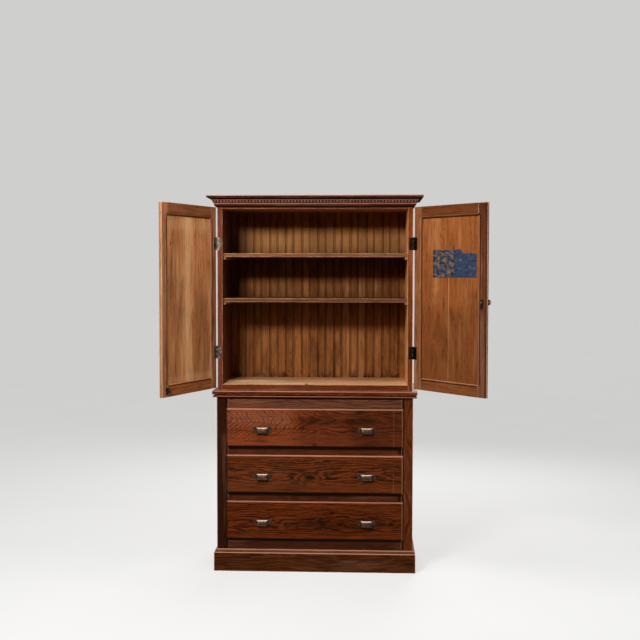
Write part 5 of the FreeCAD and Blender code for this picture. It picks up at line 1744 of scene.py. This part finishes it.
@dataclass
class Door:
    """One panelled door on two butt hinges."""

    side: Side
    body: Body
    opened: float
    panel: WoodFinish
    stile: WoodFinish
    meeting: WoodFinish
    rail: WoodFinish
    foot: WoodFinish
    hinge: MetalFinish
    pin_x: float = 500 * MM
    pin_y: float = -396 * MM
    inner: float = -1 * MM
    hinge_levels: tuple[float, float] = (1123 * MM, 1675 * MM)
    hinge_height: float = 64 * MM
    screw_reach: float = 14.3 * MM
    leaf_face: float = 1.0 * MM
    panel_recess: float = 6 * MM
    moulding: float = 13 * MM
    rail_width: float = 60 * MM
    edge_from: float = 440 * MM
    lip_back: float = -12.5 * MM
    by_panel: float = 1.4 * MM
    raised_share: float = 0.72
    outer_share: float = 1.2
    # Painted highlight and shade lines along the mouldings: width and strength of each, for sides in shade
    # and sides in light.
    shaded_lines: tuple[tuple[float, float], ...] = ((2.6 * MM, 0.12), (3.0 * MM, -0.9))
    lit_lines: tuple[tuple[float, float], ...] = ((3.0 * MM, 0.3), (3.2 * MM, -0.95))
    line_fade: float = 1.5 * MM
    line_softness: float = 0.4
    # Painted highlight with hand wear along the meeting stile's free edge: inset, width and strength.
    handled: tuple[float, float, float] = (2.5 * MM, 2.8 * MM, 0.55)
    handled_softness: float = 0.6
    handled_wear: float = 0.7
    handled_reach: float = 4.5 * MM
    label: Optional[Label] = None

    @property
    def own_frame(self) -> Matrix:
        """Turns a point of the cabinet into the frame of the shut door, on its pin."""
        pin = Vector((-self.pin_x * self.side.value, self.pin_y, 0.0))
        return Matrix.Rotation(math.radians(self.opened) * self.side.value, 4, "Z") @ Matrix.Translation(-pin)

    def build(self) -> None:
        """Dresses the door's boards, hinges and label."""
        word = self.side.word
        shared = {"lining": CASE_STAIN, "lined": self.stained, "own_frame": self.own_frame}
        for finish, part, grain in (
                (self.stile, "hinge_stile", Grain.UPRIGHT), (self.meeting, "meeting_stile", Grain.UPRIGHT),
                (self.rail, "top_rail", Grain.SIDEWAYS), (self.foot, "bottom_rail", Grain.SIDEWAYS)):
            Board(f"{word}_{part}", self.body, self.lined_finish(finish, part), grain, **shared).build()
        Board(f"{word}_panel", self.body, self.panel, Grain.UPRIGHT, bevel=0.0, **shared).build()
        dress_metal(f"{word}_door_hinge_leaves", self.body, self.hinge)
        out = self.own_frame.inverted()
        reach = self.screw_reach * self.side.value
        spots = [out @ Vector((reach, -self.leaf_face, z)) for z in self.screw_levels()]
        facing = out.to_3x3() @ Vector((0.0, 1.0, 0.0))
        Screws().build(f"{word}_door_hinge_screws", self.body, self.hinge, spots, facing)
        if self.label is not None:
            self.label.build(self, self.inner - self.panel_recess)

    def lined_finish(self, finish: WoodFinish, part: str) -> WoodFinish:
        """The finish of one frame piece, with the painted highlight and shade lines of its moulding, and on
        the meeting stile a painted highlight with hand wear along its free edge.

        Args:
            finish: the piece's wood.
            part: the frame piece.

        Returns:
            The piece's own finish.
        """
        low, high = self.own_box(f"{self.side.word}_{part}")
        upright = part.endswith("stile")
        half = (high.x - low.x) / 2 if upright else (high.z - low.z) / 2
        to_panel = {"hinge_stile": self.side.value, "meeting_stile": -self.side.value,
                    "top_rail": -1, "bottom_rail": 1}[part]
        reach = (high.z - low.z) / 2 - self.rail_width if upright else NO_LIMIT
        limits = {"low": -reach, "high": reach, "fade": self.line_fade, "softness": self.line_softness}
        shaded = part == "top_rail" or (part == "hinge_stile" and self.side is Side.RIGHT)
        raised, outer = self.raised_share * self.moulding, self.outer_share * self.moulding
        if shaded:
            insets, kinds = (raised, self.by_panel), self.shaded_lines
        else:
            insets, kinds = (self.by_panel, outer if upright else raised), self.lit_lines
        lines = [Band(to_panel * (half - inset), width, amount, **limits)
                 for inset, (width, amount) in zip(insets, kinds)]
        named = replace(finish, name=f"{self.side.word}_{part}_wood", bands=(*finish.bands, *lines))
        if part != "meeting_stile":
            return named
        # The meeting stile's free edge gets a painted highlight and more hand wear.
        inset, width, amount = self.handled
        handled = Band(-to_panel * (half - inset), width, amount, softness=self.handled_softness)
        return replace(named, wear=self.handled_wear, wear_reach=self.handled_reach,
                       bands=(*named.bands, handled))

    def stained(self, normal: Vector, middle: Vector) -> bool:
        """Whether a face of the shut door has the outer stain, as its outside and its meeting edge have."""
        at_edge = normal.x * self.side.value > FACING and abs(middle.x) > self.edge_from
        return normal.y < -FACING or (at_edge and self.side is Side.RIGHT and middle.y > self.lip_back)

    def own_box(self, node: str) -> tuple[Vector, Vector]:
        """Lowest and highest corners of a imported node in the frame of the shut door."""
        return corners([self.own_frame @ vert.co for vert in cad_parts[node].data.vertices])

    def screw_levels(self) -> list[float]:
        """Heights of the hinge screws."""
        return [level + step * self.hinge_height / 3 for level in self.hinge_levels for step in (-1, 0, 1)]


@dataclass
class CaseHinges:
    """The hinge leaves on the case, and their pins."""

    doors: Sequence[Door]

    def build(self) -> None:
        """Dresses the leaves, pins and screws that stay with the case."""
        dress_metal("case_hinge_leaves", Body.CASE, HINGE_STEEL, right=HINGE_IRON)
        dress_metal("hinge_pins", Body.CASE, HINGE_STEEL, right=HINGE_IRON)
        for door in self.doors:
            x = (-door.pin_x + door.screw_reach) * door.side.value
            spots = [Vector((x, door.pin_y + door.leaf_face, z)) for z in door.screw_levels()]
            name = f"{door.side.word}_case_hinge_screws"
            Screws().build(name, Body.CASE, door.hinge, spots, Vector((0.0, -1.0, 0.0)))


@dataclass
class Latch:
    """The cupboard turn of the right door, with its knob's outline as depth and radius in millimetres."""

    door: Door
    reach: float = 478 * MM
    level: float = 1391 * MM
    segments: int = 32
    outline: tuple[tuple[float, float], ...] = (
        (-55.65, 0.0), (-55.5, 2.4), (-54.85, 5.6), (-53.65, 8.7), (-51.45, 11.7),
        (-49.05, 13.4), (-46.65, 13.95), (-44.25, 13.4), (-42.25, 11.8), (-40.45, 9.4),
        (-39.05, 7.4), (-38.05, 6.0), (-36.0, 5.2), (-29.0, 4.9),
        (-24.0, 5.4), (-22.8, 6.0), (-21.3, 6.0), (-21.3, 4.0), (5.25, 4.0), (5.25, 0.0))

    def ring(self, bm: WorkMesh, depth: float, radius: float) -> list[bmesh.types.BMVert]:
        """One ring of the knob's points, which all meet where the radius is 0.

        Args:
            bm: the working mesh.
            depth: depth in the shut door's frame, in millimetres.
            radius: the ring's radius in millimetres.

        Returns:
            A point for each segment.
        """
        if radius == 0.0:
            return [bm.verts.new((0.0, depth * MM, 0.0))] * self.segments
        turns = (2 * math.pi * step / self.segments for step in range(self.segments))
        return [bm.verts.new((math.cos(turn) * radius * MM, depth * MM, math.sin(turn) * radius * MM))
                for turn in turns]

    def build(self) -> None:
        """Dresses the plates and tongue, and turns the knob."""
        dress_metal("latch_plates", Body.RIGHT_DOOR, DARK_IRON)
        dress_metal("latch_tongue", Body.LATCH, DARK_IRON)
        bm = bmesh.new()
        rings = [self.ring(bm, depth, radius) for depth, radius in self.outline]
        for near, far in zip(rings, rings[1:]):
            for step in range(self.segments):
                after = (step + 1) % self.segments
                spots = dict.fromkeys((near[step], far[step], far[after], near[after]))
                bm.faces.new(list(spots)).smooth = True
        shift = Matrix.Translation((self.reach * self.door.side.value, 0.0, self.level))
        bmesh.ops.transform(bm, matrix=self.door.own_frame.inverted() @ shift, verts=bm.verts)
        lay("latch_knob.turned", bm, KNOB_BRASS, Body.LATCH, "latch_knob")


@dataclass
class ElbowCatch:
    """The sprung catch of the left door, and its strike."""

    bevel: float = 0.25 * MM

    def build(self) -> None:
        """Dresses the catch."""
        dress_metal("catch_plate", Body.LEFT_DOOR, DARK_IRON, self.bevel)
        dress_metal("catch_spring", Body.LEFT_DOOR, HINGE_STEEL, 0.0)
        dress_metal("catch_lever", Body.ELBOW_CATCH, DARK_IRON, self.bevel)
        dress_metal("catch_strike", Body.CASE, DARK_IRON, self.bevel)


@dataclass
class BinPull:
    """A cast hood with a screw flange on each side."""

    half_width: float = 29 * MM
    height: float = 30 * MM
    depth: float = 22 * MM
    wall: float = 2.5 * MM
    flange: float = 18 * MM
    flange_height: float = 27 * MM
    flange_root: float = 3 * MM
    flange_ease: float = 0.8 * MM
    # Painted highlight with wear on each flange, ring by ring from the back to the front face.
    flange_crests: tuple[float, float, float] = (0.0, 0.15, 0.1)
    corner: float = 5 * MM
    corner_steps: int = 6
    columns: int = 36
    rows: int = 18
    plan_power: float = 5.0
    crown_power: float = 2.7
    # Where the painted highlight with hand wear lies on the hood, and the fainter bright band at its lip.
    crest_turn: float = 0.98
    crest_spread: float = 0.24
    lip_crest: float = 0.42
    lip_spread: float = 0.12

    def rubbed(self, rise: float) -> float:
        """How bright the hood is painted at a turn from its lip to its crown: a painted highlight with hand
        wear on the crown's shoulder, and a fainter bright band at the lip.
        """
        crest = math.exp(-((rise - self.crest_turn) / self.crest_spread) ** 2)
        return max(crest, self.lip_crest * math.exp(-(rise / self.lip_spread) ** 2))

    def skin(self, bm: WorkMesh, layer: object, at: Vector, shrink: float) -> list[list[bmesh.types.BMVert]]:
        """Points of the hood's outer or inner surface.

        Args:
            bm: the working mesh.
            layer: the attribute of painted highlight with hand wear.
            at: middle of the hood's lower back edge.
            shrink: how far the surface lies inside the outer one.

        Returns:
            Rows from the back of the crown to the lower front edge.
        """
        grid = []
        for row in range(self.rows + 1):
            rise = math.pi / 2 * (1 - row / self.rows)
            line = []
            for column in range(self.columns + 1):
                share = math.sin(math.pi * (column / self.columns - 0.5))
                plan = max(0.0, 1 - abs(share) ** self.plan_power) ** (1 / self.plan_power)
                out = max(0.0, math.cos(rise)) ** (2 / self.crown_power) * plan
                up = max(0.0, math.sin(rise)) ** (2 / self.crown_power)
                place = Vector((share * (self.half_width - shrink), -out * (self.depth - shrink),
                                up * (self.height - shrink)))
                vert = bm.verts.new(at + place)
                vert[layer] = 0.0 if shrink else self.rubbed(rise)
                line.append(vert)
            grid.append(line)
        return grid

    def flange_outline(self) -> list[tuple[float, float]]:
        """Outline of the right flange from its lower root to its upper one, with rounded outer corners.

        Returns:
            Points across and up.
        """
        near, far = self.half_width - self.flange_root, self.half_width + self.flange
        low, high = self.height - self.flange_height, self.height
        outline = [(near, low)]
        for centre, start in ((low + self.corner, -math.pi / 2), (high - self.corner, 0.0)):
            for step in range(self.corner_steps + 1):
                turn = start + math.pi / 2 * step / self.corner_steps
                outline.append((far - self.corner + math.cos(turn) * self.corner,
                                centre + math.sin(turn) * self.corner))
        return outline + [(near, high)]

    def add_flange(self, bm: WorkMesh, layer: object, at: Vector, hand: int) -> None:
        """Adds a screw flange with an eased front edge.

        Args:
            bm: the working mesh.
            layer: the attribute of painted highlight with hand wear.
            at: middle of the hood's lower back edge.
            hand: 1 for the right flange, -1 for the left.
        """
        outline = self.flange_outline()
        near, middle_z = outline[0][0], self.height - self.flange_height / 2
        middle_x = (near + self.half_width + self.flange) / 2
        depths = ((0.0, 0.0), (self.flange_ease - self.wall, 0.0), (-self.wall, self.flange_ease))
        rings = []
        for (depth, inset), crest in zip(depths, self.flange_crests):
            ring = []
            for x, z in outline:
                x = x - math.copysign(inset, x - middle_x) if x > near else x
                z = z - math.copysign(inset, z - middle_z)
                vert = bm.verts.new(at + Vector((x * hand, depth, z)))
                vert[layer] = crest
                ring.append(vert)
            rings.append(ring)
        for lower, upper in zip(rings, rings[1:]):
            for step in range(len(lower)):
                after = (step + 1) % len(lower)
                bm.faces.new((lower[step], lower[after], upper[after], upper[step]))
        bm.faces.new(rings[0])
        bm.faces.new(list(reversed(rings[-1])))

    def add(self, bm: WorkMesh, layer: object, at: Vector) -> list[Vector]:
        """Adds a pull.

        Args:
            bm: the working mesh.
            layer: the attribute of painted highlight with hand wear.
            at: middle of its lower back edge.

        Returns:
            The middles of its flanges' front faces.
        """
        close_skins(bm, self.skin(bm, layer, at, 0.0), self.skin(bm, layer, at, self.wall))
        spots = []
        for hand in (-1, 1):
            self.add_flange(bm, layer, at, hand)
            spots.append(at + Vector(((self.half_width + self.flange / 2) * hand, -self.wall,
                                      self.height - self.flange_height / 2)))
        return spots


@dataclass
class Drawer:
    """One drawer: front with eased lip, box, bottom, and two bin pulls."""

    name: str
    body: Body
    finish: WoodFinish
    heart: tuple[float, float, float]
    spread: float = 266 * MM
    front_face: float = -415.3 * MM
    screw_height: float = 1.5 * MM
    pull: BinPull = field(default_factory=BinPull)

    def build(self) -> None:
        """Dresses the drawer's boards and makes its pulls."""
        Board(f"{self.name}_front", self.body, self.finish, Grain.SIDEWAYS, RAW_WOOD, inward,
              heart=self.heart).build()
        Board(f"{self.name}_box", self.body, RAW_WOOD, Grain.BACKWARD).build()
        Board(f"{self.name}_bottom", self.body, RAW_WOOD, Grain.SIDEWAYS, bevel=0.0).build()
        self.pulls()

    def pulls(self) -> None:
        """Makes the two pulls, which stand for the plain ones, and their screws."""
        node = f"{self.name}_pulls"
        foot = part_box(node)[0].z
        front = Vector((0.0, -1.0, 0.0))
        bm = bmesh.new()
        # Each point's share of painted highlight with hand wear.
        layer = bm.verts.layers.float.new("crest")
        spots = []
        for x in (-self.spread, self.spread):
            seats = self.pull.add(bm, layer, Vector((x, self.front_face, foot)))
            spots += [seat + front * self.screw_height / 2 for seat in seats]
        lay(f"{self.name}_bin_pulls", bm, PULL_IRON, self.body, node)
        Screws(self.screw_height).build(f"{self.name}_pull_screws", self.body, PULL_IRON, spots, front)


@dataclass(frozen=True)
class Lamp:
    """A soft lamp: where it hangs, what it points at, width and height of its face, and its watts."""

    name: str
    place: tuple[float, float, float]
    aim: tuple[float, float, float]
    size: tuple[float, float]
    power: float

    def hang(self) -> None:
        """Puts the lamp into the scene."""
        light = bpy.data.lights.new(self.name, "AREA")
        light.shape = "RECTANGLE"
        light.size, light.size_y = self.size
        light.energy = self.power
        thing = bpy.data.objects.new(self.name, light)
        turn = (Vector(self.aim) - Vector(self.place)).to_track_quat("-Z", "Y")
        thing.matrix_world = Matrix.Translation(self.place) @ turn.to_matrix().to_4x4()
        bpy.context.scene.collection.objects.link(thing)


@dataclass
class Studio:
    """Pale floor, soft lights, and the camera where the photograph was taken."""

    eye: tuple[float, float, float] = (267.87 * MM, -5734.72 * MM, 1533.62 * MM)
    yaw: float = -0.0451
    pitch: float = -0.0456
    roll: float = 0.0015
    focal_px: float = 1054.2
    sensor: float = 36.0
    sight: float = 200.0
    floor_half: float = 30.0
    floor_tone: Tone = (0.36, 0.355, 0.35)
    floor_shade: float = 0.94
    floor_cloud: Noise = Noise((1.5, 1.5, 1.5), 3.0)
    floor_rough: tuple[float, float] = (0.7, 0.85)
    floor_gloss: float = 0.1
    floor_glow: float = 0.58
    glow_tone: Tone = (1.0, 1.0, 0.99)
    backdrop: Tone = (0.625, 0.626, 0.617)
    ambient: float = 0.025
    lamps: tuple[Lamp, ...] = (
        Lamp("key_lamp", (-1.1, -3.1, 2.58), (0.0, -0.3, 1.1), (0.9, 0.4), 84.0),
        Lamp("top_lamp", (-0.3, -1.2, 3.3), (0.0, -0.5, 0.0), (1.8, 0.5), 34.0),
        Lamp("side_lamp", (2.6, -1.35, 1.5), (-0.6, -0.65, 1.35), (0.5, 1.2), 15.0),
        Lamp("back_lamp", (0.6, 2.6, 2.4), (0.0, 0.0, 0.9), (2.0, 0.8), 60.0),
    )

    def camera(self) -> None:
        """Sets the camera at the photograph's viewing angle."""
        ahead, rise = math.cos(self.pitch), math.sin(self.pitch)
        forward = Vector((math.sin(self.yaw) * ahead, math.cos(self.yaw) * ahead, rise))
        right = Vector((math.cos(self.yaw), -math.sin(self.yaw), 0.0))
        up = right.cross(forward)
        across = right * math.cos(self.roll) + up * math.sin(self.roll)
        above = up * math.cos(self.roll) - right * math.sin(self.roll)
        lens = bpy.data.cameras.new("photo_camera")
        lens.sensor_fit = "HORIZONTAL"
        lens.sensor_width = self.sensor
        lens.lens = self.focal_px * self.sensor / PHOTO_WIDTH
        lens.clip_end = self.sight
        thing = bpy.data.objects.new("photo_camera", lens)
        turn = Matrix((across, above, -forward)).transposed().to_4x4()
        thing.matrix_world = Matrix.Translation(self.eye) @ turn
        bpy.context.scene.collection.objects.link(thing)
        bpy.context.scene.camera = thing

    def world(self) -> None:
        """A dim even light all round, seen as a pale backdrop."""
        world = bpy.data.worlds.new("studio")
        bpy.context.scene.world = world
        world.use_nodes = True
        nodes = Nodes(world.node_tree)
        light = nodes.fed("ShaderNodeBackground", (1.0, 1.0, 1.0), self.ambient)
        seen = nodes.fed("ShaderNodeBackground", self.backdrop)
        mixed = nodes.fed("ShaderNodeMixShader", nodes.looked_at(), light[0], seen[0])
        nodes.fed("ShaderNodeOutputWorld", mixed[0])

    def floor(self) -> None:
        """A wide pale floor that takes the cabinet's shadow."""
        bm = bmesh.new()
        bmesh.ops.create_grid(bm, x_segments=2, y_segments=2, size=self.floor_half)
        thing = from_bmesh("studio_floor", bm)
        nodes = Shading("studio_floor")
        cloud = nodes.noise(self.floor_cloud, nodes.place())
        shaded = tuple(share * self.floor_shade for share in self.floor_tone)
        nodes.give("Base Color", nodes.mix(self.floor_tone, shaded, cloud))
        nodes.give("Roughness", nodes.ease(cloud, 0.0, 1.0, *self.floor_rough))
        nodes.give("Specular IOR Level", self.floor_gloss)
        nodes.give("Emission Color", self.glow_tone)
        nodes.give("Emission Strength", nodes.math("MULTIPLY", nodes.looked_at(), self.floor_glow))
        thing.data.materials.append(nodes.material)

    def build(self) -> None:
        """Sets the whole studio."""
        bpy.context.scene.view_settings.view_transform = "Standard"
        self.camera()
        for lamp in self.lamps:
            lamp.hang()
        self.world()
        self.floor()


def main() -> None:
    """Builds the cabinet's looks piece by piece, then the studio round it."""
    logging.basicConfig(level=logging.INFO, format="%(message)s")
    left = Door(Side.LEFT, Body.LEFT_DOOR, 112.46, LEFT_PANEL_WOOD, LEFT_STILE_WOOD, LEFT_MEETING_WOOD,
                LEFT_RAIL_WOOD, LEFT_FOOT_WOOD, HINGE_STEEL)
    right = Door(Side.RIGHT, Body.RIGHT_DOOR, 129.08, RIGHT_PANEL_WOOD, RIGHT_STILE_WOOD, RIGHT_MEETING_WOOD,
                 RIGHT_RAIL_WOOD, RIGHT_FOOT_WOOD, HINGE_IRON, label=Label())
    drawers = [
        Drawer("bottom_drawer", Body.BOTTOM_DRAWER, BOTTOM_DRAWER_STAIN, (31.0, 0.015, 0.06)),
        Drawer("middle_drawer", Body.MIDDLE_DRAWER, MIDDLE_DRAWER_STAIN, (12.0, 0.005, 0.06)),
        Drawer("top_drawer", Body.TOP_DRAWER, TOP_DRAWER_STAIN, (5.0, -0.035, 0.06)),
    ]
    assemblies = [DrawerCase(), Waist(), ShelfCase(), Cornice(), left, right, CaseHinges((left, right)),
                  Latch(right), ElbowCatch(), *drawers, Studio()]
    for assembly in assemblies:
        assembly.build()
        LOG.info("%s done", type(assembly).__name__)


if __name__ == "__main__":
    main()
